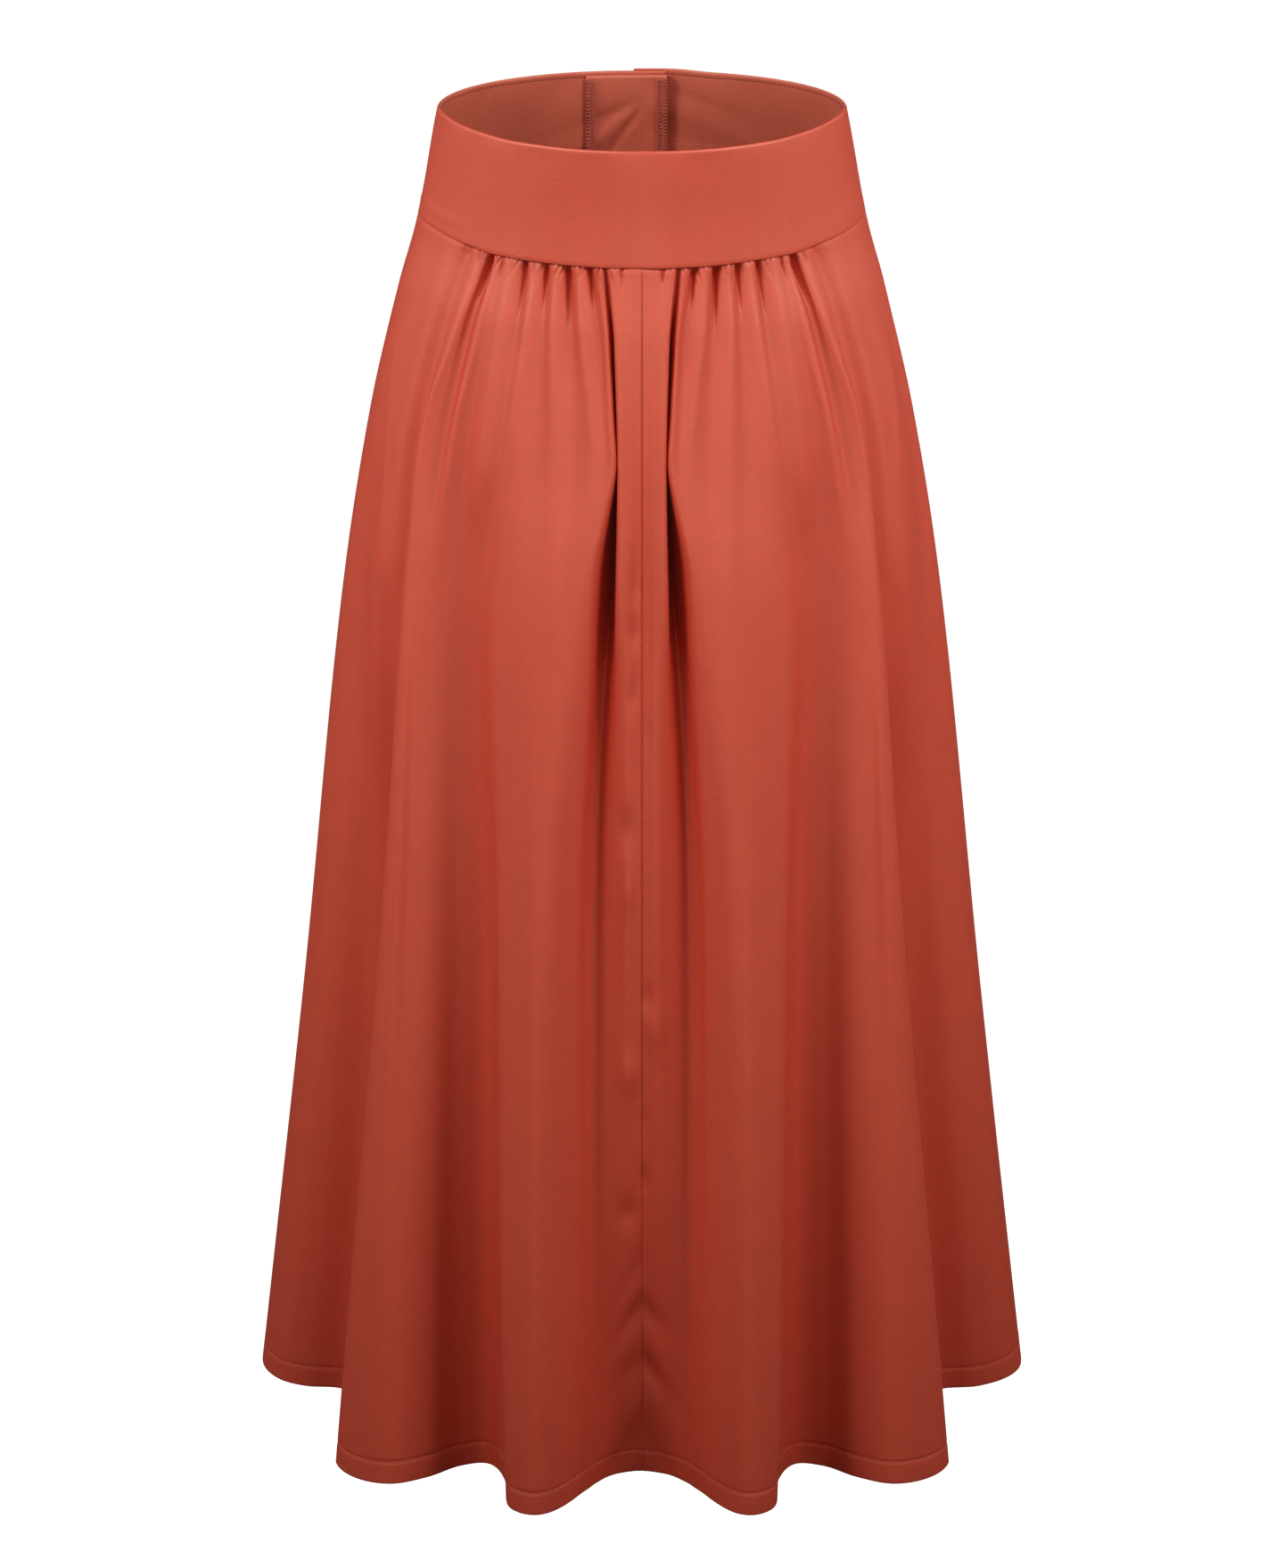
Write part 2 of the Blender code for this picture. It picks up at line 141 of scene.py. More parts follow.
class SkirtStage(PropertyGroup):
    """The floor and the light."""

    floor_drop: length("Floor", "From the waist down to the floor", 1600.0)
    key_power: power("Key lights", "Each of the pair high at both sides of the front", 3.65)
    high_power: power("High lights", "Each of the pair above the key lights", 0.56)
    side_power: power("Side lights", "Each of the pair at the sides", 0.68)
    back_power: power("Back lights", "Each of the pair behind", 1.05)
    front_power: power("Front light", "Wide low softbox below the camera's line", 3.4)
    floor_light: share("Floor light", "How bright the pale floor looks by itself", 1.12)
    room_light: share("Room light", "Even light from all round", 0.002)


def cloth():
    return bpy.context.scene.skirt_cloth


def sewing():
    return bpy.context.scene.skirt_sewing


def stage():
    return bpy.context.scene.skirt_stage


# --- The form ---

Section = namedtuple("Section", "drop half_width front_depth back_depth front_power")
SECTIONS = (
    Section(0, 118.0, 88.4, 84.5, 1.65),
    Section(BAND_DEPTH, 130.4, 94.3, 92.0, 1.70),
    Section(107, 142.7, 103.0, 106.0, 1.80),
    Section(179, 160.4, 114.0, 125.0, 1.90),
    Section(292, 179.4, 127.0, 141.0, 2.00),
    Section(559, 210.5, 154.0, 164.0, 2.00),
    Section(TOP_TO_HEM, 243.0, 180.0, 187.0, 2.00),
)
BACK_POWER = 2.0

# Fold lines: their turns at TURN_DROPS, and how far they stand out from the plain form at all
# of OUT_DROPS but the first. At that one, the band's seam, it is SEAM_FULLNESS of the next.
# The front's are those of its -X half, which are mirrored; the back's go on round the body.
TURN_DROPS = (BAND_DEPTH, 110.0, 180.0, 245.0, 430.0, TOP_TO_HEM)
OUT_DROPS = (BAND_DEPTH, 92.0, 180.0, 245.0, 310.0, 430.0, TOP_TO_HEM)
SEAM_FULLNESS = 0.35
Fold = namedtuple("Fold", "name turns outs")
FRONT_FOLDS = (
    Fold("centre front seam", (0, 0, 0, 0, 0, 0), (0, 1.5, 1.5, 0.5, -2.5, -26)),
    Fold("strip crown", (5.6, 3.9, 2.9, 2.6, 2.6, 3.3), (0.6, 3.4, 4.5, 2.4, -1, -22.5)),
    Fold("strip edge", (10.9, 7.3, 5.2, 4.7, 4.4, 5.2), (1, 4, 4.5, -0.5, -4, -17.5)),
    Fold("groove, strip side", (11.7, 8, 5.5, 5.2, 6.3, 6.2), (-2, -9, -10, -5.5, -7, -13.3)),
    Fold("groove", (12.4, 8.5, 5.9, 6.4, 8.3, 7), (-4.5, -22, -24, -11, -9.5, -9.2)),
    Fold("groove, lobe side", (12.9, 8.9, 6.3, 8, 9.8, 7.8), (-2, -9, -8, -8, -6, -3.5)),
    Fold("inner lobe, inner edge", (13.7, 9.6, 6.9, 9.5, 10.9, 8.6), (1, 4, 5.5, 4.5, 3.5, 2)),
    Fold("gather 3", (16.8, 11.9, 8.9, 10.8, 12.7, 9.8), (-1.5, 4, 8, 8.5, 9, 12)),
    Fold("ridge 3", (19.6, 15.4, 11.4, 12.6, 14.2, 11.2), (1, 5, 9, 10.5, 13, 22)),
    Fold("gather 4", (22.8, 19, 15.2, 15, 15.6, 12.7), (-1.5, 2.5, 9, 11.5, 15, 29)),
    Fold("inner lobe crest", (25.7, 22.9, 19.3, 18, 17.2, 14.3), (1, 4.5, 9, 11.5, 16, 32)),
    Fold("gather 5", (28.6, 26.3, 23.3, 21.6, 19.6, 16.1), (-1.5, 2.5, 8, 11, 15, 31)),
    Fold("inner lobe, outer edge", (31.6, 30, 29, 28.6, 24.4, 18), (1, 4, 4, 5, 9, 25)),
    Fold("gather 6", (34.7, 32.8, 31.8, 31.4, 26.8, 20.6), (-1.5, 1, -2, -2.5, -3, -5)),
    Fold("valley between lobes", (38.4, 37.2, 36, 35, 30.6, 24.6), (1, 1.5, -5, -7.5, -11, -19)),
    Fold("gather 7", (41.6, 41.4, 41, 39.4, 34.8, 28.5), (-0.5, -2, -5, -6.5, -8, -11)),
    Fold("outer lobe, inner edge", (43.2, 43.6, 44.3, 43.9, 39.4, 31.8), (0.8, 2, 1, 1.5, 3, 9)),
    Fold("gather 8", (45.2, 46.4, 47, 46.6, 42.6, 35.6), (-2, -1, 3, 5.5, 9, 26)),
    Fold("outer lobe crest", (47, 48.2, 50, 49, 44.4, 40), (0.3, 2, 5.5, 9, 14.5, 31)),
    Fold("outer lobe, outer edge", (49, 50.4, 52.5, 51, 47.4, 45), (1, 4, 4.8, 7.2, 12.5, 26)),
    Fold("gather 9", (53, 54.6, 56, 54, 50.6, 50.5), (-1.6, -3.5, -4.5, -6, -8, -1)),
    Fold("side valley", (58.6, 59.8, 60.5, 58, 55.5, 57), (0.5, 0.5, -1.5, -8, -22, -37)),
    Fold("side fold, front", (66, 66.3, 66.5, 65, 64, 66), (0, 0.5, 0.5, -3.5, -17, -38)),
    Fold("side fold, brow", (72, 72, 72, 71, 70.5, 71.4), (0, 0, -2, -4.5, -9, -19)),
    Fold("side fold, crest", (78, 77.8, 77.5, 77, 76.5, 76.2), (0, 0, -2, -2.5, -3, -6)),
    Fold("side fold, corner", (84, 83.8, 83.5, 83, 82.5, 81.6), (0, 0, 0, 0, 0, 0)),
)
BACK_FOLDS = (
    Fold("left side seam", (90, 90, 90, 90, 90, 90), (0, 0, 0, 0, 0, 0)),
    Fold("left side, back", (101, 101, 101, 101, 101, 100), (0, 0, 0, 0, 0, -1)),
    Fold("left hip valley", (112, 112, 112, 112, 112, 111), (0, -1, -3, -5, -9, -23)),
    Fold("left back gather 1", (119, 119, 119, 119, 119, 118), (-2, -1, -2, -3.5, -6, -14)),
    Fold("left back lobe, edge", (126, 126, 126, 127, 127, 126), (1, 2, 3, 4.5, 8, 18)),
    Fold("left back gather 2", (132, 132, 132, 133, 134, 133), (-2.5, 1, 4, 6.5, 11, 26)),
    Fold("left back lobe, inner", (138, 138, 139, 140, 141, 141), (1, 1, 1, 2, 5, 14)),
    Fold("left back gather 3", (144, 144, 145, 146, 147, 148), (-3, -5, -6, -6.5, -8, -13)),
    Fold("left back valley", (150, 150, 151, 151, 152, 154), (1, -2, -4, -6, -9, -18)),
    Fold("left back gather 4", (156, 156, 156, 156, 157, 159), (-2.5, -1, 1, 1.5, 2, 3)),
    Fold("left centre lobe", (162, 162, 162, 162, 163, 164), (1, 3, 4, 6, 10, 25)),
    Fold("left back gather 5", (168, 168, 168, 168, 169, 170), (-2, 0, 2, 3, 5, 16)),
    Fold("lap strip, left", (174, 174, 174, 175, 175, 176), (0, 0, 0, 0, 0, -6)),
    Fold("centre back seam", (180, 180, 180, 180, 180, 180), (0, 0, 0, 0, -1, -11)),
    Fold("lap strip, middle", (187, 187, 187, 186, 186, 185), (0, 0, 0, 0, -1, -12)),
    Fold("lap strip, right", (194, 194, 193, 192, 191, 190), (0, 0, 0, 0, 0, -7)),
    Fold("right back gather 5", (199, 199, 198, 197, 195, 193.5), (-2.5, 0, 2, 3, 4, 9)),
    Fold("right centre lobe", (205, 204.5, 204, 202, 199, 197), (1, 3, 5, 7, 11, 27)),
    Fold("right back gather 4", (212, 211.5, 211, 209, 206, 203), (-3, -1, 1, 2, 3, 12)),
    Fold("right back valley", (218, 217, 216, 214, 210, 207), (1, -3, -5, -6.5, -9, -16)),
    Fold("right back gather 3", (224, 222.5, 221, 218, 214, 212), (-2.5, -4, -5, -6, -8, -12)),
    Fold("right back lobe, inner", (230, 228.5, 227, 225, 221, 219), (1, 1, 2, 3, 5, 12)),
    Fold("right back gather 2", (236, 234.5, 233, 231, 228, 227), (-2.5, 2, 4, 6.5, 11, 26)),
    Fold("right back lobe, edge", (242, 240.5, 239, 238, 235, 234), (1, 2, 3, 4.5, 8, 19)),
    Fold("right back gather 1", (249, 248, 247, 246, 244, 243), (-1.5, -1, -3, -4.5, -7, -15)),
    Fold("right side, back", (259, 259, 259, 259, 259, 260), (0, 0, 0, 0, 0, -2)),
    Fold("right side seam", (270, 270, 270, 270, 270, 270), (0, 0, 0, 0, 0, 0)),
)

# Gathers that the stitching presses into the front under the band, on either side of the
# centre: turns at the seam, 43 mm and 83 mm below it, then length and depth of the sharp slit
# at the head, and length, depth and half width of the soft channel that it runs out into
Gather = namedtuple("Gather", "name seam middle low slit slit_depth length depth half_width")
GATHERS = (
    Gather("beside the centre strip", 7.1, 6.6, 6.2, 18, 2.6, 30, 0.4, 1.2),
    Gather("along the groove", 12.4, 8.6, 6.8, 40, 1.4, 60, 0.3, 1.4),
    Gather("first", 16.8, 12.2, 9.4, 26, 4.2, 72, 2.2, 1.8),
    Gather("second", 22.9, 19.2, 16.2, 38, 5.4, 84, 2.4, 2.2),
    Gather("third", 28.7, 26.3, 24, 28, 4.6, 60, 1.6, 2),
    Gather("fourth", 34.7, 32.6, 29.4, 32, 4.8, 72, 1.7, 2),
    Gather("fifth", 41, 41, 41.5, 15, 2.4, 30, 0.5, 1.4),
    Gather("sixth", 45, 46.6, 47.4, 30, 4.8, 130, 2.6, 2.2),
    Gather("seventh", 48.6, 49.4, 50, 12, 1.8, 20, 0.4, 1.2),
    Gather("eighth", 52.4, 55, 57, 9, 1, 120, 1.3, 3),
)
GATHER_STATIONS = (0, 43, 83)

# Soft fold edges that stand out of the lobes, as turns and heights at TURN_DROPS
Edge = namedtuple("Edge", "name turns heights half_width")
EDGES = (
    Edge("ridge beside the second gather", (19.4, 16, 9, 9, 9, 9), (0.2, 0.5, 0.1, 0, 0, 0), 2.6),
    Edge("ridge beside the third gather", (25.8, 23.4, 19.6, 19, 19, 19), (0.2, 0.4, 0.3, 0.1, 0, 0), 3.4),
    Edge("inner lobe, outer edge", (31.2, 29.8, 29.4, 29.9, 25.4, 20.4), (0.1, 0.3, 0.4, 0.4, 0.5, 0.3), 4.5),
    Edge("inner lobe, inner edge", (13.6, 9.6, 7.2, 9.6, 11, 9.4), (0, 0.2, 0.5, 0.6, 0.2, 0), 3),
    Edge("ridge beside the sixth gather", (41.6, 42.2, 44.4, 44.3, 43, 43), (0.2, 0.7, 0.8, 0.5, 0, 0), 3.2),
    Edge("outer lobe, outer edge", (46.4, 49, 53.2, 52, 48.6, 45.6), (0.1, 0.8, 1.2, 1.1, 1.2, 0.9), 2.6),
    Edge("side fold's edge", (80, 78, 69, 62.5, 50, 50), (0, 0.2, 0.6, 0.6, 0, 0), 3.4),
)

# Slanted dents that meet in points on the centre-front seam near the hem: drop of the point,
# fall for each mm away from the seam on -X and on +X, heights on both sides, half width and
# how far from the seam they reach
Chevron = namedtuple("Chevron", "drop fall_left fall_right left right half_width reach")
CHEVRONS = (
    Chevron(676, 1.7, 1.5, -1.3, -0.4, 9, 15),
    Chevron(707, 1.25, 0.9, -2.7, -2.2, 9, 14),
    Chevron(743, 0.8, 1.2, -1.6, -2.6, 8, 19),
    Chevron(768, 1.1, 0.9, 0.9, 0.5, 8, 14),
    Chevron(792, 1.1, 1.4, -1.5, -1.1, 11, 22),
)

# Puckers beside the centre-front seam: mm from it (-X is negative), drop, half width, half
# height and how far they stand out, before PUCKER_FACTOR
Pucker = namedtuple("Pucker", "off_seam drop half_width half_height height")
PUCKERS = (
    Pucker(-5, 250, 3.5, 12, -0.7),
    Pucker(-4.7, 276, 3.6, 6, -1),
    Pucker(-6, 316, 3.8, 6, -0.7),
    Pucker(2.5, 340, 3, 6, -0.4),
    Pucker(-9.5, 398, 5, 9, -0.9),
    Pucker(-8, 436, 4, 9, 0.5),
    Pucker(2.8, 503, 3, 5, -0.7),
    Pucker(6, 522, 6, 12, 0.6),
    Pucker(-7.5, 552, 6, 11, 0.9),
    Pucker(1.5, 585, 2.5, 4, -0.5),
    Pucker(1, 622, 3, 5, -0.8),
    Pucker(-9, 644, 6, 9, -0.8),
)

# How the band's top edge and its seam rise and fall round the body, as drops at turns
WAVE_TURNS = (0, 25, 45, 62, 74, 90, 135, 180)
TOP_WAVE = (0, 1.4, 1.9, 0.6, -0.7, -1.8, -0.9, 0)
SEAM_WAVE = (0.3, 1, 1, -2.6, -4.6, -5.4, -3, 0)
SEAM_WAVE_REACH = 90.0

# The centre-back lap, as on the solids
LAP_UPPER_END = -4.8
LAP_UNDER_END = 14.1
LAP_RUN_UP = 30.0
LAP_GAP = 0.5
LAP_CLEARANCE = 0.35
LAP_SPRING = 2.5
END_PIECE_WIDTH = 48.0
STRIP_LEFT = -4.8
STRIP_RIGHT = 20.2
STRIP_DEPTH = 173.0
UNDERSTITCH_DROP = 3.4

# How far the front folds' inner edges lean over the grooves: mm, drop and reach of each lean,
# and how far round from the groove it ends, in degrees
LEANS = ((1.6, 177, 15), (1.3, 325, 85))
LEAN_END, LEAN_FADE = 8, 6
CREASE_POWER = 2.2


def unit(vectors):
    """The same vectors with a length of 1."""
    return vectors / np.maximum(np.linalg.norm(vectors, axis=-1, keepdims=True), 1e-9)


def travelled(points):
    """Distance from the start of a row of points to each of them."""
    return np.concatenate([[0], np.cumsum(np.linalg.norm(np.diff(points, axis=0), axis=1))])


def bell(distance, half_width):
    """A soft bump that is 1 in the middle."""
    return np.exp(-((distance / half_width) ** 2))


def crease(distance, half_width):
    """A sharper bump, like a pressed fold."""
    return 1 / (1 + (np.abs(distance) / half_width) ** CREASE_POWER)


def ramp(value, start, run):
    """Rises from 0 at the start to 1 a run further on."""
    return np.clip((value - start) / run, 0, 1)


def smooth_between(stations, values, at):
    """A cubic through rows of values that never overshoots them, evaluated at one station."""
    stations, values = np.asarray(stations, float), np.asarray(values, float)
    steps = np.diff(stations)
    slopes = np.diff(values, axis=0) / steps.reshape(-1, *[1] * (values.ndim - 1))
    tangents = np.concatenate([slopes[:1], slopes])
    before, after = slopes[:-1], slopes[1:]
    turning = before * after <= 0
    tangents[1:-1] = np.where(turning, 0, 2 * before * after / np.where(turning, 1, before + after))
    span = int(np.clip(np.searchsorted(stations, at, "right") - 1, 0, len(steps) - 1))
    t = (at - stations[span]) / steps[span]
    return (
        values[span] * (1 + 2 * t) * (1 - t) ** 2
        + tangents[span] * steps[span] * t * (1 - t) ** 2
        + values[span + 1] * t * t * (3 - 2 * t)
        + tangents[span + 1] * steps[span] * t * t * (t - 1)
    )


def plain_point(turns, drop):
    """Plan positions on the plain form, one for each turn."""
    rows = [section[1:] for section in SECTIONS]
    half_width, front_depth, back_depth, front_power = smooth_between(
        [section.drop for section in SECTIONS], rows, max(drop, 0.0)
    )
    across, along = np.sin(np.radians(turns)), np.cos(np.radians(turns))
    front = along > 0
    power = np.where(front, front_power, BACK_POWER)
    depth = np.where(front, front_depth, back_depth)
    x = -half_width * np.sign(across) * np.abs(across) ** (2 / power)
    y = -depth * np.sign(along) * np.abs(along) ** (2 / power)
    return np.stack([x, y], axis=-1)


def plain_outward(turns, drop, small=0.3):
    """Unit plan vectors that point out of the plain form."""
    ahead = plain_point(turns + small, drop) - plain_point(turns - small, drop)
    return unit(np.stack([-ahead[..., 1], ahead[..., 0]], axis=-1))


def mirrored(fold):
    """The same fold line on the other half of the front."""
    return fold._replace(name=fold.name + ", +X side", turns=tuple(360 - turn for turn in fold.turns))


FOLD_LOOP = FRONT_FOLDS + BACK_FOLDS + tuple(mirrored(fold) for fold in reversed(FRONT_FOLDS[1:]))
FOLD_TURNS = np.array([fold.turns for fold in FOLD_LOOP], float).T
FOLD_OUTS = np.array([(SEAM_FULLNESS * fold.outs[0], *fold.outs) for fold in FOLD_LOOP], float).T
LEFT_SIDE = len(FRONT_FOLDS)
CENTRE_BACK = LEFT_SIDE + [fold.name for fold in BACK_FOLDS].index("centre back seam")
RIGHT_SIDE = LEFT_SIDE + len(BACK_FOLDS) - 1
FULL_TURN = len(FOLD_LOOP)


def loop_row(places, drop):
    """Plan positions and turns at places round the fold loop, on a closed centripetal curve."""
    turns = smooth_between(TURN_DROPS, FOLD_TURNS, drop)
    outs = smooth_between(OUT_DROPS, FOLD_OUTS, drop)
    points = plain_point(turns, drop) + outs[:, None] * plain_outward(turns, drop)
    first = np.floor(places).astype(int)
    corners = [points[(first + step) % FULL_TURN] for step in (-1, 0, 1, 2)]
    knots = [np.zeros(len(places))]
    for a, b in zip(corners, corners[1:]):
        knots.append(knots[-1] + np.sqrt(np.linalg.norm(b - a, axis=1)))
    at = knots[1] + (places - first) * (knots[2] - knots[1])

    def blend(a, b, start, end):
        weight = ((at - start) / (end - start))[:, None]
        return a + weight * (b - a)

    lines = [blend(corners[i], corners[i + 1], knots[i], knots[i + 1]) for i in range(3)]
    arcs = [blend(lines[i], lines[i + 1], knots[i], knots[i + 2]) for i in range(2)]
    plan = blend(arcs[0], arcs[1], knots[1], knots[2])
    unwrapped = np.concatenate([turns - 360, turns, turns + 360])
    return plan, np.interp(places, np.arange(-FULL_TURN, 2 * FULL_TURN), unwrapped)


def wave(turns, heights):
    """Rise and fall of an edge round the body at these turns."""
    return np.interp(np.abs((turns + 180) % 360 - 180), WAVE_TURNS, heights)


def seam_wave_share(drop):
    """How much of the seam's rise and fall is left at a drop below it."""
    return np.clip(1 - (drop - BAND_DEPTH) / SEAM_WAVE_REACH, 0, 1) ** 2


# --- Meshes from rows of points ---


def grid_faces(rows, columns, closed=False, upward=False):
    """Faces of a grid whose rows run down the outer side, or up it; closed joins its ends."""
    down = np.arange(rows if closed else rows - 1)[:, None]
    across = np.arange(columns - 1)[None, :]
    a = down * columns + across
    b = (down + 1) % rows * columns + across
    corners = [a, b, b + 1, a + 1] if upward else [a, a + 1, b + 1, b]
    return np.stack(corners, axis=-1).reshape(-1, 4).tolist()


def closed_faces(rows, columns, upward=False):
    """Faces of a grid whose rows close on themselves, with a cap at both ends."""
    caps = [list(range(start, rows * columns, columns)) for start in (0, columns - 1)]
    caps[int(upward)].reverse()
    return grid_faces(rows, columns, True, upward) + caps


def tube_faces(start, rings, sides):
    """Faces and both caps of a tube whose rings of vertices follow one another."""
    last = start + (rings - 1) * sides
    faces = []
    for first in range(start, last, sides):
        for j in range(sides):
            a, b = first + j, first + (j + 1) % sides
            faces.append((a, b, b + sides, a + sides))
    return faces + [tuple(range(start + sides - 1, start - 1, -1)), tuple(range(last, last + sides))]


def join_meshes(parts):
    """One list of vertices and faces from several."""
    vertices, faces = [], []
    for more, theirs in parts:
        start = len(vertices)
        vertices += list(more)
        faces += [tuple(i + start for i in face) for face in theirs]
    return vertices, faces


def make_piece(name, points_mm, faces, material, replaces=(), uv_mm=None):
    """A smooth mesh object that rides on the frame."""
    mesh = bpy.data.meshes.new(name)
    mesh.from_pydata((np.asarray(points_mm).reshape(-1, 3) * MM).tolist(), [], faces)
    mesh.shade_smooth()
    if uv_mm is not None:
        layer = mesh.uv_layers.new(name="cloth")
        corners = np.zeros(len(mesh.loops), int)
        mesh.loops.foreach_get("vertex_index", corners)
        layer.data.foreach_set("uv", (uv_mm.reshape(-1, 2)[corners] * MM).ravel())
    piece = bpy.data.objects.new(name, mesh)
    bpy.context.scene.collection.objects.link(piece)
    mesh.materials.append(material)
    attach(piece, "root")
    if replaces:
        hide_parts(*replaces)
    return piece


def surface_normals(points, outward):
    """Unit normals of a grid of points, turned to the side of the outward vectors."""
    normals = unit(np.cross(np.gradient(points, axis=1), np.gradient(points, axis=0)))
    wrong = (normals * outward).sum(axis=-1, keepdims=True) < 0
    return np.where(wrong, -normals, normals)


# --- The panels ---

# How a seam looks on the cloth: the depth and half width of its dent, the height, distance and
# half width of the bank on both sides of it, and the height, start and fall of the swell that
# the cloth makes right under the band
DENT_DEPTH, DENT_HALF_WIDTH = 0.4, 0.3
BANK_HEIGHT, BANK_OUT, BANK_HALF_WIDTH = 0.16, 1.7, 1.1
PUFF_HEIGHT, PUFF_START, PUFF_FALL = 0.45, 2.5, 26
HEM_PLUMP, HEM_PLUMP_RUN, HEM_DENT, HEM_DENT_HALF_WIDTH = 0.1, 3, 0.5, 0.7
# The chevrons are this much flatter right at the seam, which the stitches hold
CALM_AT_SEAM, CALM_HALF_WIDTH = 0.4, 2.5

# Rows of points as (drop, inset): under the band, down the cloth in stretches of (start, end,
# step), and round the hem's fold as (height above it, share of the turn-up's thickness)
UNDER_BAND_ROWS = [(BAND_DEPTH - up, 0.4) for up in (2.5, 1.2, 0.2)]
STRETCHES = (
    (BAND_DEPTH + 0.5, BAND_DEPTH + 12, 0.9),
    (BAND_DEPTH + 12, BAND_DEPTH + 40, 1.7),
    (BAND_DEPTH + 40, BAND_DEPTH + 90, 3.0),
    (BAND_DEPTH + 90, TOP_TO_HEM - 190, 7.5),
    (TOP_TO_HEM - 190, TOP_TO_HEM - 20, 4.6),
    (TOP_TO_HEM - 20, TOP_TO_HEM - 1.2, 0.9),
)
HEM_FOLD = ((1.2, 0.0), (0.5, 1 / 15), (0.1, 0.25), (0.0, 0.5), (0.15, 0.75), (0.8, 23 / 24), (4, 1.0))
HEM_ROW_UP = 0.8
# Close columns at a seam, as places on the fold loop, and how near it no other columns lie
SEAM_COLUMNS = np.array([-0.14, -0.09, -0.05, -0.025, 0.0, 0.025, 0.05, 0.09, 0.14])
SEAM_CLEARANCE = 0.17
# From here down the relief is steady, so the turn-up has the folds of the cloth outside it
STEADY_ABOVE_HEM = 1.3
# A degree counts as this many mm of cloth at most, also in deep folds
WIDEST_TURN = 4.5
FRONT_GATHERED = range(-18, 18)
BACK_GATHERED = range(LEFT_SIDE + 3, RIGHT_SIDE - 3)

# A gather's slit: its half width at the foot, how much wider it is at its head, and how its
# depth fades. Then how far down its channel is twice as wide, how the channel's depth fades,
# and how far below the seam both have their full depth.
SLIT_FOOT, SLIT_SPREAD, SLIT_FADE = 0.35, 0.4, 0.8
CHANNEL_DOUBLES, CHANNEL_FADE, GATHER_START = 40, 1.3, 5

# Short tucks right under the band: their ranges, and where they lie on the front and back
TUCK_SPACING, TUCK_SLANT = (1.3, 2.6), (-0.6, 0.6)
TUCK_HEIGHT, TUCK_LENGTH, TUCK_HALF_WIDTH = (0.8, 1.9), (2.5, 6.5), (0.4, 0.65)
Tucks = namedtuple("Tucks", "centre reach spare seed")
FRONT_TUCKS, BACK_TUCKS = Tucks(0, 52, 3.0, 7), Tucks(180, 56, 14.0, 11)

# The back's gathers: ranges of the slit's length and depth and the channel's length and depth
BACK_GATHER_RANGES = ((14, 34), (1.6, 3.4), (45, 90), (1.0, 2.4))
BACK_GATHER_HALF_WIDTH, BACK_GATHER_SEED = 2.0, 23

# Slow waves down the cloth: how many, how tall, and the ranges of their rates round and down
WAVE_COUNT, WAVE_HEIGHT, WAVE_FADE_IN = 9, 0.14, 60
WAVES_ROUND, WAVES_DOWN = (0.06, 0.42), (0.002, 0.009)
FRONT_WAVE_SEED, BACK_WAVE_SEED = 3, 5
PUCKER_FACTOR = 2.2


def even_rows(start, end, step):
    count = max(1, round((end - start) / step))
    return [start + (end - start) * i / count for i in range(count)]


def panel_levels():
    """(drop, inset) of each row of points: under the band, down the cloth and up in the hem."""
    wall, depth = cloth().hem_wall / MM, cloth().hem_depth / MM
    levels = list(UNDER_BAND_ROWS)
    for stretch in STRETCHES:
        levels += [(drop, 0.0) for drop in even_rows(*stretch)]
    levels += [(TOP_TO_HEM - up, inset * wall) for up, inset in HEM_FOLD]
    # The turn-up runs up inside and ends in a rounded edge that touches the cloth
    turn_up = ((depth / 2, 1), (depth - 0.6, 1), (depth, 0.7), (depth - 0.2, 0.45))
    return levels + [(TOP_TO_HEM - up, inset * wall) for up, inset in turn_up]


def gather_press(away, below, slit, slit_depth, length, depth, half_width):
    """One gather: a sharp slit at its head, in a soft channel that widens downwards."""
    left, run = max(0.0, 1 - below / slit), max(0.0, 1 - below / length)
    head = slit_depth * left**SLIT_FADE * crease(away, SLIT_FOOT + SLIT_SPREAD * left)
    widening = 1 + max(below, 0) / CHANNEL_DOUBLES
    channel = depth * run**CHANNEL_FADE * crease(away, half_width * widening)
    return (head + channel) * (0.5 + 0.5 * min(1.0, max(0.0, below / GATHER_START)))


def gathers_at(turns, below, turn_mm):
    """How far the stitched gathers press a point of the front in; below is from the seam."""
    pressed = np.zeros_like(turns)
    for gather in GATHERS:
        middle = np.interp(below, GATHER_STATIONS, (gather.seam, gather.middle, gather.low))
        pressed -= gather_press((turns - middle) * turn_mm, below, *gather[4:])
    return pressed * cloth().gather_depth


def small_gathers(signed_turns, below, turn_mm, tucks):
    """Short uneven tucks right under the band, within reach of a centre but not too near it."""
    draw = random.Random(tucks.seed)
    pushed = np.zeros_like(signed_turns)
    turn = tucks.centre - tucks.reach
    down = max(0.0, below)
    while turn < tucks.centre + tucks.reach:
        turn += draw.uniform(*TUCK_SPACING)
        tall, long = draw.uniform(*TUCK_HEIGHT), draw.uniform(*TUCK_LENGTH)
        half_width, slant = draw.uniform(*TUCK_HALF_WIDTH), draw.uniform(*TUCK_SLANT)
        if abs(turn - tucks.centre) >= tucks.spare:
            away = (signed_turns - turn) * turn_mm - slant * down
            pushed -= tall * crease(away, half_width) * math.exp(-down / long)
    return pushed


def edges_at(turns, drop, turn_mm):
    """Soft fold edges on the front at one drop."""
    raised = np.zeros_like(turns)
    for edge in EDGES:
        middle = smooth_between(TURN_DROPS, edge.turns, drop)
        height = smooth_between(TURN_DROPS, edge.heights, drop)
        raised += height * crease((turns - middle) * turn_mm, edge.half_width)
    return raised * cloth().crease_height


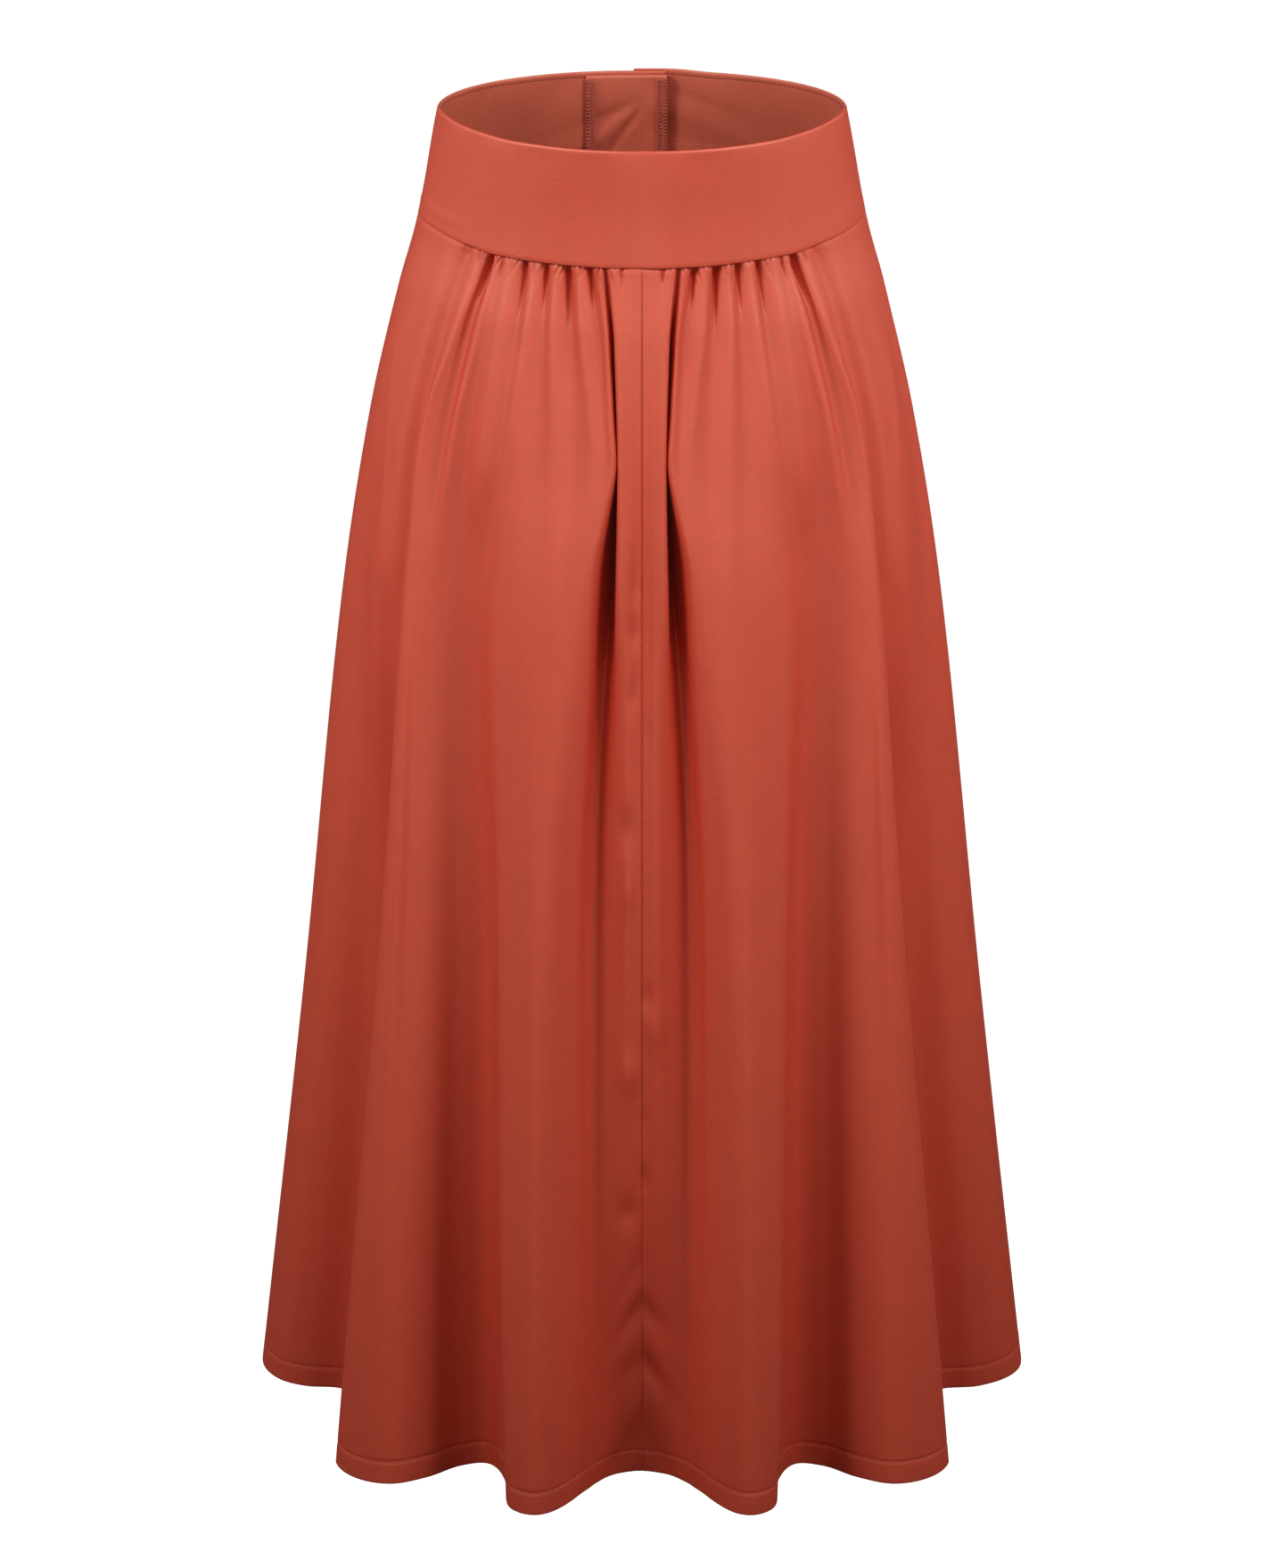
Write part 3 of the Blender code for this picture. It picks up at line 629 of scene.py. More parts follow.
def centre_seam_relief(off_seam, drop):
    """Wrinkles and puckers that the centre-front seam draws into the cloth."""
    raised = np.zeros_like(off_seam)
    for chevron in CHEVRONS:
        fall = np.where(off_seam < 0, chevron.fall_left, chevron.fall_right)
        height = np.where(off_seam < 0, chevron.left, chevron.right)
        below = drop - chevron.drop - fall * np.abs(off_seam)
        fade = bell(off_seam, chevron.reach) * (1 - CALM_AT_SEAM * bell(off_seam, CALM_HALF_WIDTH))
        raised += height * bell(below, chevron.half_width) * fade
    for pucker in PUCKERS:
        across = bell(off_seam - pucker.off_seam, pucker.half_width)
        raised += PUCKER_FACTOR * pucker.height * across * bell(drop - pucker.drop, pucker.half_height)
    return raised


def seam_line(off_seam):
    """The dent of a pressed-open seam, with the cloth standing up a little beside it."""
    bank = BANK_HEIGHT * bell(np.abs(off_seam) - BANK_OUT, BANK_HALF_WIDTH)
    return -DENT_DEPTH * bell(off_seam, DENT_HALF_WIDTH) + bank


def seam_puff(below):
    """The cloth swells out right under the band's edge."""
    down = max(0.0, below)
    return PUFF_HEIGHT * min(1.0, down / PUFF_START) * math.exp(-down / PUFF_FALL)


def loose_waves(signed_turns, drop, seed):
    """Slow uneven waves that run down the cloth."""
    draw = random.Random(seed)
    raised = np.zeros_like(signed_turns)
    for _ in range(WAVE_COUNT):
        per_turn, per_drop = draw.uniform(*WAVES_ROUND), draw.uniform(*WAVES_DOWN)
        phase, lean = draw.uniform(0, math.tau), draw.uniform(0, math.tau)
        sway = np.sin(drop * per_drop + lean)
        raised += WAVE_HEIGHT * np.sin(signed_turns * per_turn * math.tau / 4 + phase + sway)
    return raised


def panel_places(first, last, seams, gathered, fine=12, coarse=7):
    """Places of a cloth's columns: close in the gathered spans, and closest at the seams."""
    spans = [(span, fine if span in gathered else coarse) for span in range(first, last)]
    places = [np.linspace(span, span + 1, count + 1) for span, count in spans]
    places = np.unique(np.concatenate(places).round(6))
    for seam in seams:
        places = places[np.abs(places - seam) > SEAM_CLEARANCE]
        close = seam + SEAM_COLUMNS
        places = np.concatenate([places, close[(close >= first) & (close <= last)]])
    return np.sort(places)


def panel_grid(places, relief):
    """Points, uv, turns and drops of one cloth: rows down the skirt, columns along the loop."""
    drops, insets = np.array(panel_levels()).T
    rows, turns, outward = [], [], []
    for drop in drops:
        plan, turn = loop_row(places, drop)
        if drop < BAND_DEPTH:  # held flat between the band's layers
            plan = plain_point(turn, drop)
        rows.append(np.column_stack([plan, np.full(len(places), -drop)]))
        turns.append(turn)
        outward.append(np.column_stack([plain_outward(turn, drop), np.zeros(len(places))]))
    points, turns = np.array(rows), np.array(turns)
    run = np.array([travelled(row[:, :2]) for row in points])
    steady = np.minimum(drops, TOP_TO_HEM - STEADY_ABOVE_HEM)
    raised = np.stack([relief(turns[i], steady[i], run[i]) for i in range(len(drops))])
    raised[drops < BAND_DEPTH] = 0
    flat_out = surface_normals(points, np.array(outward))
    points = points + flat_out * (raised - insets[:, None])[..., None]
    points[..., 2] = -(drops[:, None] + wave(turns, SEAM_WAVE) * seam_wave_share(drops)[:, None])
    fall = np.concatenate([[0], np.cumsum(np.abs(np.diff(drops)))])
    uv = np.stack([run, np.broadcast_to(-fall[:, None], run.shape)], axis=-1)
    return points, uv, turns, drops


def turn_size(turns, run):
    """Cloth to each degree round the body, in mm."""
    return np.minimum(np.gradient(run) / np.maximum(np.gradient(turns), 1e-6), WIDEST_TURN)


def shared_relief(turns, drop, run, seed):
    """Side seams, the swell under the band, slow waves and the hem, as on both panels."""
    below = drop - BAND_DEPTH
    raised = seam_line(run) + seam_line(run[-1] - run) + seam_puff(below)
    raised += loose_waves(turns, drop, seed) * ramp(below, 0, WAVE_FADE_IN)
    return raised + hem_relief(drop)


def front_relief(turns, drop, run):
    """Everything that stands out of or sinks into the front beyond its fold lines."""
    off_seam = run - np.interp(0.0, turns, run)
    below, turn_mm = drop - BAND_DEPTH, turn_size(turns, run)
    raised = gathers_at(np.abs(turns), below, turn_mm)
    raised += small_gathers(turns, below, turn_mm, FRONT_TUCKS)
    raised += edges_at(np.abs(turns), drop, turn_mm)
    raised += centre_seam_relief(-off_seam, drop) + seam_line(off_seam)
    return raised + shared_relief(turns, drop, run, FRONT_WAVE_SEED)


def back_relief(turns, drop, run):
    """The back's gathers, its seams and the opening under the lap strip."""
    below, turn_mm = drop - BAND_DEPTH, turn_size(turns, run)
    raised = small_gathers(turns, below, turn_mm, BACK_TUCKS)
    draw = random.Random(BACK_GATHER_SEED)
    for fold in BACK_FOLDS:
        slit, deep, long, depth = [draw.uniform(*limits) for limits in BACK_GATHER_RANGES]
        if "gather" in fold.name and below < long:
            away = (turns - np.interp(drop, TURN_DROPS[:3], fold.turns[:3])) * turn_mm
            raised -= gather_press(away, below, slit, deep, long, depth, BACK_GATHER_HALF_WIDTH)
    raised += seam_line(run - np.interp(180.0, turns, run))
    return raised + shared_relief(turns, drop, run, BACK_WAVE_SEED)


def hem_row_drop():
    """Drop of the row of stitches that holds the turn-up."""
    return TOP_TO_HEM - cloth().hem_depth / MM + HEM_ROW_UP


def hem_relief(drop):
    """The turn-up plumps the hem a little, and its stitch row draws the cloth in."""
    below = drop - hem_row_drop()
    return HEM_PLUMP * ramp(below, 0, HEM_PLUMP_RUN) - HEM_DENT * bell(below, HEM_DENT_HALF_WIDTH)


def pouch(points, turns, drops):
    """The front folds' inner edges lean over the grooves, most at the hips and the thighs."""
    groove = next(fold for fold in FRONT_FOLDS if fold.name == "groove")
    bottom = np.array([smooth_between(TURN_DROPS, groove.turns, drop) for drop in drops])[:, None]
    away = np.abs(turns) - bottom
    lean = sum(height * bell(drops - drop, reach) for height, drop, reach in LEANS)
    points[..., 0] += lean[:, None] * ramp(away, 0, 1) * ramp(-away, -LEAN_END, LEAN_FADE) * np.sign(turns)
    return points


def make_front():
    places = panel_places(-LEFT_SIDE, LEFT_SIDE, (-LEFT_SIDE, 0, LEFT_SIDE), FRONT_GATHERED)
    points, uv, turns, drops = panel_grid(places, front_relief)
    points = pouch(points, turns, drops)
    faces = grid_faces(*points.shape[:2])
    replaced = ("front_left", "front_right")
    piece = make_piece("skirt_front", points, faces, satin(), replaced, uv)


def make_back():
    seams = (LEFT_SIDE, CENTRE_BACK, RIGHT_SIDE)
    places = panel_places(LEFT_SIDE, RIGHT_SIDE, seams, BACK_GATHERED, fine=14)
    points, uv, _, _ = panel_grid(places, back_relief)
    faces = grid_faces(*points.shape[:2])
    replaced = ("back_left", "back_right")
    piece = make_piece("skirt_back", points, faces, satin(), replaced, uv)


# --- The waistband and its lap ---

# Rows of the band's flat faces: even ones, then close ones round the understitching
BAND_EVEN_ROWS, BAND_EVEN_TOP = 25, 6.6
BAND_TOP_ROWS = [5.2, 4.4, 3.9, 3.4, 2.9, 2.4, 1.1]
BAND_COLUMNS, BACK_BAND_COLUMNS = 200, 120

# Drags from the lap into the back halves of the band, as (drop, height, half width), and
# across the end piece, as (fall for each mm, height)
BAND_DRAGS = ((14, 0.5, 4.0), (27, -0.45, 4.5), (41, 0.4, 5.0), (55, -0.35, 5.0))
END_PIECE_DRAGS = ((1.5, 0.9), (0.9, -0.8), (0.45, 0.6))
# Their slope, their share outside and inside, and the inside's share of the front's hollows
DRAG_SLOPE, OUTER_DRAGS, INNER_DRAGS, INNER_SHARE = 0.32, 0.35, 0.75, 0.6
END_PIECE_COLUMNS, END_PIECE_ROWS, END_PIECE_WALL = 60, 30, 0.7

# Half of the lap strip's section: mm from its edge, and mm out of the cloth
STRIP_SECTION = [(0.0, 0.15), (0.25, 0.75), (1.0, 1.1), (4.5, 0.95), (5.5, 1.1), (9, 1.2), (12.5, 1.25)]
STRIP_ROWS = 70


def band_points(turns, drop, offset):
    """A row of the band at a drop of the flat band, offset out of the plain form."""
    plan = plain_point(turns, drop) + offset[:, None] * plain_outward(turns, drop)
    down = np.clip(drop / BAND_DEPTH, 0, 1)
    level = drop + wave(turns, TOP_WAVE) * (1 - down) + wave(turns, SEAM_WAVE) * down
    return np.column_stack([plan, -level])


def band_profile():
    """(drop, offset, side) round the band's section, from the outer foot over the top edge.

    The side is 1 outside and -1 inside. The foot and the top edge are rounded off.
    """
    outer = cloth().band_overhang / MM
    inner = outer - cloth().band_wall / MM
    middle = (outer + inner) / 2
    foot, last = BAND_DEPTH, BAND_EVEN_ROWS - 1
    down = [foot - 0.5 - (foot - BAND_EVEN_TOP) * i / last for i in range(BAND_EVEN_ROWS)]
    down += BAND_TOP_ROWS
    profile = [(foot, middle, 1), (foot, outer - 0.45, 1), (foot - 0.15, outer - 0.12, 1)]
    profile += [(drop, outer, 1) for drop in down]
    profile += [(0.35, outer - 0.22, 1), (0.02, outer - 0.65, 1), (0.0, middle, 0)]
    profile += [(0.02, inner + 0.65, -1), (0.35, inner + 0.22, -1)]
    profile += [(drop, inner, -1) for drop in reversed(down)]
    return profile + [(foot - 0.15, inner + 0.12, -1), (foot, inner + 0.45, -1)]


def make_band_part(name, replaces, ends_at, count, relief, lift=None):
    """One part of the band: its section carried round, closed at both ends."""
    rows, uvs = [], []
    profile = band_profile()
    travelled_round = 0.0
    for i, (drop, offset, side) in enumerate(profile):
        turns = np.linspace(*ends_at(drop), count)
        plain = plain_point(turns, drop)
        run = travelled(plain)
        tuck = 0.5 * (bell(run, 0.9) + bell(run[-1] - run, 0.9))
        off = offset + relief(turns, drop, side) - tuck * side
        if lift is not None:
            off = off + lift(plain[:, 0], drop)
        rows.append(band_points(turns, drop, off))
        if i:
            travelled_round += abs(drop - profile[i - 1][0]) + abs(offset - profile[i - 1][1])
        uvs.append(np.column_stack([run, np.full(count, travelled_round)]))
    faces = closed_faces(len(profile), count, upward=True)
    piece = make_piece(name, np.array(rows), faces, band_satin(), replaces, np.array(uvs))
    piece.data.materials.append(facing_satin())
    inner_rows = [i for i, (_, _, side) in enumerate(profile) if side < 0]
    for face in range(inner_rows[0] * (count - 1), (inner_rows[-1] + 1) * (count - 1)):
        piece.data.polygons[face].material_index = 1  # the facing's
    return piece


def front_band_relief(turns, drop, side):
    """Slow hollows of the interfaced cloth and the turnings that press through at the sides.

    Heights are in mm, and middles and widths are in mm down the band or in degrees round it.
    """
    away = np.abs(turns)
    ridge = 0.4 * bell(drop - (BAND_DEPTH - 9.5), 1.4) * ramp(away, 50, 14)
    hollow = -0.5 * bell(drop - 36, 22) * bell(turns, 34)
    roll = 0.4 * bell(away - 64, 7) * ramp(drop, 0, 14)
    waves = 0.16 * np.sin(turns * 0.13 + 1.1 + drop * 0.035) + 0.1 * np.sin(turns * 0.31 - drop * 0.05)
    return (ridge + hollow + roll + waves * ramp(drop, 0, 6)) * (1 if side >= 0 else INNER_SHARE)


def back_band_relief(turns, drop, side):
    """Drags that run from the lap into the back halves of the band."""
    x = plain_point(turns, drop)[:, 0]
    fan = np.zeros(len(turns))
    for rise, height, half_width in BAND_DRAGS:
        away = drop - rise - DRAG_SLOPE * (x - 20) * np.where(x > 0, 1, -1.1)
        fan += height * bell(away, half_width) * bell(np.abs(x) - 34, 34)
    shallow = 0.25 * np.sin(turns * 0.21 + drop * 0.06)
    row = 0.2 * bell(drop - UNDERSTITCH_DROP, 0.5) if side < 0 else 0.0
    return (fan * (OUTER_DRAGS if side > 0 else INNER_DRAGS) + shallow) * ramp(drop, 0, 8) + row


def back_turn_at(x, drop):
    """The turn at which the plain back form has this X."""
    drops, half_widths = zip(*(section[:2] for section in SECTIONS))
    half_width = smooth_between(drops, half_widths, max(drop, 0))
    return 180 + math.degrees(math.asin(x / float(half_width)))


def lap_lift(x, drop):
    """How far the upper side of the lap stands out; its end springs off a little at the top."""
    run = ramp(-x, -(LAP_UNDER_END + LAP_RUN_UP), LAP_RUN_UP)
    spring = LAP_SPRING * (1 - drop / BAND_DEPTH)
    return (cloth().band_wall / MM + LAP_GAP + spring) * run * run * (3 - 2 * run)


def make_waistband():
    front = make_band_part(
        "waistband_front_cloth", ("waistband_front",), lambda drop: (-90, 90), BAND_COLUMNS, front_band_relief
    )
    left = make_band_part(
        "waistband_back_left_cloth", ("waistband_back_left",),
        lambda drop: (90, back_turn_at(LAP_UNDER_END, drop)), BACK_BAND_COLUMNS, back_band_relief,
    )
    right = make_band_part(
        "waistband_back_right_cloth", ("waistband_back_right",),
        lambda drop: (back_turn_at(LAP_UPPER_END, drop), 270), BACK_BAND_COLUMNS, back_band_relief, lap_lift,
    )


def inner_face():
    """Offset of the band's inner face from the plain form."""
    return (cloth().band_overhang - cloth().band_wall) / MM


def end_piece_row(turns, drop, offset):
    """The overlocked end piece follows the inner face of the band's under side."""
    relief = back_band_relief(turns, drop, -1)
    x = plain_point(turns, drop)[:, 0]
    for fall, height in END_PIECE_DRAGS:
        away = (drop - 16) - fall * (4 - x)
        relief = relief + height * bell(away, 4.5) * ramp(drop, 12, 14) * bell(x + 14, 22)
    return band_points(turns, drop, inner_face() - LAP_CLEARANCE - offset + relief)


def make_end_piece():
    """The lap's overlocked end piece, a thin cloth on the inner face."""
    drops = np.linspace(2.2, BAND_DEPTH - 1.5, END_PIECE_ROWS)
    loop = [(drop, 0.0) for drop in drops] + [(drop, END_PIECE_WALL) for drop in drops[::-1]]
    across = np.linspace(0, END_PIECE_WIDTH, END_PIECE_COLUMNS)
    rows, uvs = [], []
    for drop, offset in loop:
        ends = [back_turn_at(x, drop) for x in (LAP_UNDER_END - END_PIECE_WIDTH, LAP_UNDER_END + 0.8)]
        rows.append(end_piece_row(np.linspace(*ends, END_PIECE_COLUMNS), drop, offset))
        uvs.append(np.column_stack([across, np.full(END_PIECE_COLUMNS, drop)]))
    faces = closed_faces(len(loop), END_PIECE_COLUMNS)
    replaced = ("waistband_underlap",)
    piece = make_piece(
        "lap_end_piece", np.array(rows), faces, facing_satin(), replaced, np.array(uvs)
    )


def back_cloth_point(x, drop, out=0.0):
    """A point on the outer face of the back panels, or out of it, near the centre back."""
    plan, turns = loop_row(np.linspace(CENTRE_BACK - 2.5, CENTRE_BACK + 4.0, 260), drop)
    y = np.interp(x, plan[:, 0], plan[:, 1])
    rise = float(wave(np.interp(x, plan[:, 0], turns), SEAM_WAVE))
    return np.array([x, y + out, -(drop + rise * seam_wave_share(drop))])


def make_lap_strip():
    """The strip over the top of the centre-back opening, folded at both long edges."""
    drops = np.linspace(BAND_DEPTH + 0.2, BAND_DEPTH + STRIP_DEPTH, STRIP_ROWS)
    width = STRIP_RIGHT - STRIP_LEFT
    section = STRIP_SECTION + [(width - x, out) for x, out in reversed(STRIP_SECTION[:-1])]
    rows, uvs = [], []
    for drop in drops:
        thinner = 1 - 0.8 * bell(drop - drops[-1], 0.6)
        rows.append(
            [back_cloth_point(STRIP_LEFT + x, drop, LAP_CLEARANCE + out * thinner) for x, out in section]
        )
        uvs.append([(x, -drop) for x, _ in section])
    points = np.array(rows)
    faces = grid_faces(*points.shape[:2])
    replaced = ("back_placket",)
    piece = make_piece("lap_strip", points, faces, satin(), replaced, np.array(uvs))


# --- Sewing ---

# Rings of one stitch: share of its length from the middle, share of its thickness, and height
STITCH_RINGS = ((-0.5, 0.12, -0.6), (-0.38, 0.8, 0.1), (0.0, 1.0, 0.35), (0.38, 0.8, 0.1), (0.5, 0.12, -0.6))
STITCH_SIDES, THREAD_SIDES = 6, 5
BAND_STITCH, SEAM_STITCH = 2.4, 1.9
FACING_ROW_DROP = 47.0
# The band's rows lie on the relief this much further down, so they follow its dent's edge
BAND_ROW_RELIEF = 1.3
# How far the rows sink into the cloth, or stand out of the strip with its own thickness
HEM_ROW_SINK, SEAM_ROW_SINK = 0.06, 0.3
STRIP_ROW_OUT, STRIP_FOOT_OUT = 1.3, 1.45
HEM_SAMPLES, SEAM_SAMPLES, STRIP_SAMPLES, EDGE_SAMPLES = 900, 400, 120, 60
OVERLOCK_WIDTH, OVERLOCK_PITCH = 5.2, 2.1
STRIP_ROW_INSET = 5


def resample(points, step):
    """Points a given step apart along a line of points."""
    points = np.asarray(points, float)
    run = travelled(points)
    at = np.arange(step / 2, run[-1], step)
    return np.column_stack([np.interp(at, run, points[:, axis]) for axis in range(3)])


def stitch_mesh(line, outs, stitch):
    """Vertices and faces of a row of stitches: short rounded threads lying along a line."""
    along = unit(np.gradient(line, axis=0))
    side = unit(np.cross(outs, along))
    radius = sewing().thread / MM / 2
    vertices, faces = [], []
    for centre, forward, across, out in zip(line, along, side, outs):
        faces += tube_faces(len(vertices), len(STITCH_RINGS), STITCH_SIDES)
        for at, wide, high in STITCH_RINGS:
            for angle in np.linspace(0, math.tau, STITCH_SIDES, endpoint=False):
                spoke = math.cos(angle) * across + math.sin(angle) * out
                vertices.append(centre + forward * at * stitch + out * high * radius + spoke * radius * wide)
    return vertices, faces


def stitch_row(name, line, out_of, material, stitch_mm=None):
    """A row of stitches along a line; out_of gives the direction out of the cloth there."""
    points = resample(line, sewing().pitch / MM)
    outs = np.array([out_of(point) for point in points])
    vertices, faces = stitch_mesh(points, outs, stitch_mm or sewing().stitch / MM)
    make_piece(name, vertices, faces, material)


def thread_mesh(line, radius):
    """Vertices and faces of a round thread along a line of points."""
    line = np.asarray(line, float)
    along = unit(np.gradient(line, axis=0))
    up = np.where(np.abs(along[:, 2:3]) > 0.9, [[1.0, 0, 0]], [[0, 0, 1.0]])
    side = unit(np.cross(along, up))
    vertices = []
    for centre, a, b in zip(line, side, np.cross(side, along)):
        for angle in np.linspace(0, math.tau, THREAD_SIDES, endpoint=False):
            vertices.append(centre + radius * (math.cos(angle) * a + math.sin(angle) * b))
    return vertices, tube_faces(0, len(line), THREAD_SIDES)


def plan_outward(point):
    """Level direction out of the body at a point of the skirt."""
    turn = math.degrees(math.atan2(-point[0], -point[1]))
    return np.array([*plain_outward(np.array([turn]), max(-point[2], 0))[0], 0.0])


def overlock(name, edge, towards, material):
    """Overlocking along a cut edge: slanted loops from the edge to a line of needle stitches.

    Numbers times out are heights over the cloth in mm, and those times reach are shares of the
    row's width.
    """
    radius = sewing().thread / MM / 2
    points = resample(edge, OVERLOCK_PITCH)
    outs = [-plan_outward(point) for point in points]
    inn = np.array([towards, 0.0, 0.0])
    reach = inn * OVERLOCK_WIDTH
    parts = []
    for a, b, out in zip(points, points[1:], outs):
        start, end = a + out * 0.25, b + reach + out * 0.35
        hill = (a + b) / 2 + reach * 0.5 + out * 0.75
        back = b + reach * 0.45 + out * 0.6
        parts.append(thread_mesh([start, (start + hill) / 2 + out * 0.2, hill, end], radius * 1.15))
        parts.append(thread_mesh([end, back, b + out * 0.3], radius * 0.9))
    parts.append(thread_mesh([p + reach + out * 0.4 for p, out in zip(points, outs)], radius * 1.1))
    parts.append(thread_mesh([p + out * 0.2 - inn * 0.25 for p, out in zip(points, outs)], radius * 1.5))
    vertices, faces = join_meshes(parts)
    make_piece(name, vertices, faces, material)


def make_overlocking():
    """Both overlocked edges of the lap's end piece."""
    thread = cotton_thread("overlock_thread", sewing().overlock_colour)
    edges = (
        ("overlock_lap_edge", LAP_UNDER_END + 0.6, -1),
        ("overlock_inner_edge", LAP_UNDER_END - END_PIECE_WIDTH, 1),
    )
    for name, x, towards in edges:
        drops = np.linspace(3.0, BAND_DEPTH - 2, EDGE_SAMPLES)
        edge = [end_piece_row(np.array([back_turn_at(x, drop)]), drop, 0.75)[0] for drop in drops]
        overlock(name, edge, towards, thread)


def make_hem_stitches():
    """The row that holds the turn-up, all round the outside of the hem."""
    drop = hem_row_drop()
    thread = cotton_thread("hem_thread", sewing().thread_colour)
    rows = (("hem_stitches_front", -LEFT_SIDE, LEFT_SIDE), ("hem_stitches_back", LEFT_SIDE, RIGHT_SIDE))
    for name, first, last in rows:
        plan, _ = loop_row(np.linspace(first, last, HEM_SAMPLES), drop)
        across = np.gradient(plan, axis=0)
        out = unit(np.column_stack([-across[:, 1], across[:, 0]]))
        line = np.column_stack([plan - HEM_ROW_SINK * out, np.full(len(plan), -drop)])

        def out_of(point, line=line, out=out):
            nearest = np.argmin(np.linalg.norm(line[:, :2] - point[:2], axis=1))
            return np.array([*out[nearest], 0.0])

        stitch_row(name, line, out_of, thread)


def make_band_stitches():
    """The understitching inside the top edge, and the facing's row inside the back."""
    dark = cotton_thread("band_thread", sewing().inner_thread_colour)
    pale = cotton_thread("hem_thread", sewing().thread_colour)
    top, low = UNDERSTITCH_DROP, FACING_ROW_DROP
    upper, under = LAP_UNDER_END + 3, LAP_UNDER_END - 4
    past_end_piece = LAP_UNDER_END - END_PIECE_WIDTH - 2
    rows = (
        ("understitch_front", (-89, 89, 300), top, None),
        ("understitch_back_left", (91, back_turn_at(under, top), 200), top, None),
        ("understitch_back_right", (back_turn_at(upper, top), 269, 200), top, lap_lift),
        ("facing_stitches_right", (back_turn_at(upper, low), 262, 200), low, lap_lift),
        ("facing_stitches_left", (98, back_turn_at(past_end_piece, low), 200), low, None),
    )
    for name, ends_and_count, drop, lift in rows:
        turns = np.linspace(*ends_and_count)
        relief = front_band_relief if name.endswith("front") else back_band_relief
        off = inner_face() + relief(turns, drop + BAND_ROW_RELIEF, -1)
        if lift is not None:
            off = off + lift(plain_point(turns, drop)[:, 0], drop)
        line, thread = band_points(turns, drop, off), dark if drop == top else pale
        stitch_row(name, line, lambda point: -plan_outward(point), thread, BAND_STITCH)


def make_strip_stitches():
    """Topstitching down both edges of the lap strip and across its foot."""
    thread = cotton_thread("strip_thread", sewing().thread_colour)
    drops = np.linspace(BAND_DEPTH + 2, BAND_DEPTH + STRIP_DEPTH - 3, STRIP_SAMPLES)
    left, right = STRIP_LEFT + STRIP_ROW_INSET, STRIP_RIGHT - STRIP_ROW_INSET
    foot = np.linspace(left, right, 20)
    lines = [[back_cloth_point(x, drop, STRIP_ROW_OUT) for drop in drops] for x in (left, right)]
    lines.append([back_cloth_point(x, drops[-1], STRIP_FOOT_OUT) for x in foot])
    parts = []
    for line in lines:
        points = resample(line, sewing().pitch / MM)
        outs = np.tile([0.0, 1.0, 0.0], (len(points), 1))
        parts.append(stitch_mesh(points, outs, sewing().stitch / MM))
    vertices, faces = join_meshes(parts)
    make_piece("lap_strip_stitches", vertices, faces, thread)


def make_seam_stitches():
    """The needle's row that shows in the centre-front seam."""
    thread = cotton_thread("seam_thread", sewing().seam_thread_colour)
    line = []
    for drop in np.linspace(BAND_DEPTH + 2, TOP_TO_HEM - 17, SEAM_SAMPLES):
        x, y = loop_row(np.array([0.0]), drop)[0][0]
        raised = centre_seam_relief(np.zeros(1), drop)[0] + seam_puff(drop - BAND_DEPTH) - SEAM_ROW_SINK
        line.append((x, y - raised, -(drop + SEAM_WAVE[0] * seam_wave_share(drop))))
    stitch_row("centre_seam_stitches", line, lambda point: np.array([0.0, -1.0, 0.0]), thread, SEAM_STITCH)


# --- Materials ---


# Scales one input and adds another to it
SCALE_AND_ADD = {"operation": "MULTIPLY_ADD"}


def set_inputs(tree, node, **values):
    """Sets inputs by name, or as in0, in1 and so on; a socket or a node is linked to them."""
    for name, value in values.items():
        key = int(name[2:]) if name[2:].isdigit() else name.replace("_", " ")
        if isinstance(value, bpy.types.Node):
            value = value.outputs[0]
        if isinstance(value, bpy.types.NodeSocket):
            tree.links.new(value, node.inputs[key])
        else:
            node.inputs[key].default_value = value


def add_node(tree, kind, settings=None, **values):
    """A shader node with its settings and its inputs."""
    node = tree.nodes.new("ShaderNode" + kind)
    for name, value in (settings or {}).items():
        setattr(node, name, value)
    set_inputs(tree, node, **values)
    return node


def spot_scale(spot_mm):
    """The scale of a noise with spots of about this size."""
    return 1 / (spot_mm * MM)


def rib_scale(rib_mm):
    """The scale of a wave with ribs about this wide, and grooves as wide between them."""
    return 1 / (rib_mm * MM) / math.tau


def rgba(colour_value, factor=1.0):
    return (*(min(1.0, c * factor) for c in colour_value), 1.0)


def tones(colour_value, dark, light):
    """A darker and a lighter tone of a colour."""
    return {"Color1": rgba(colour_value, dark), "Color2": rgba(colour_value, light)}


def material_named(name, build, *details):
    """The material of this name, built when it is first asked for."""
    if name not in bpy.data.materials:
        material = bpy.data.materials.new(name)
        material.use_nodes = True
        build(material.node_tree, material.node_tree.nodes["Principled BSDF"], *details)
    return bpy.data.materials[name]


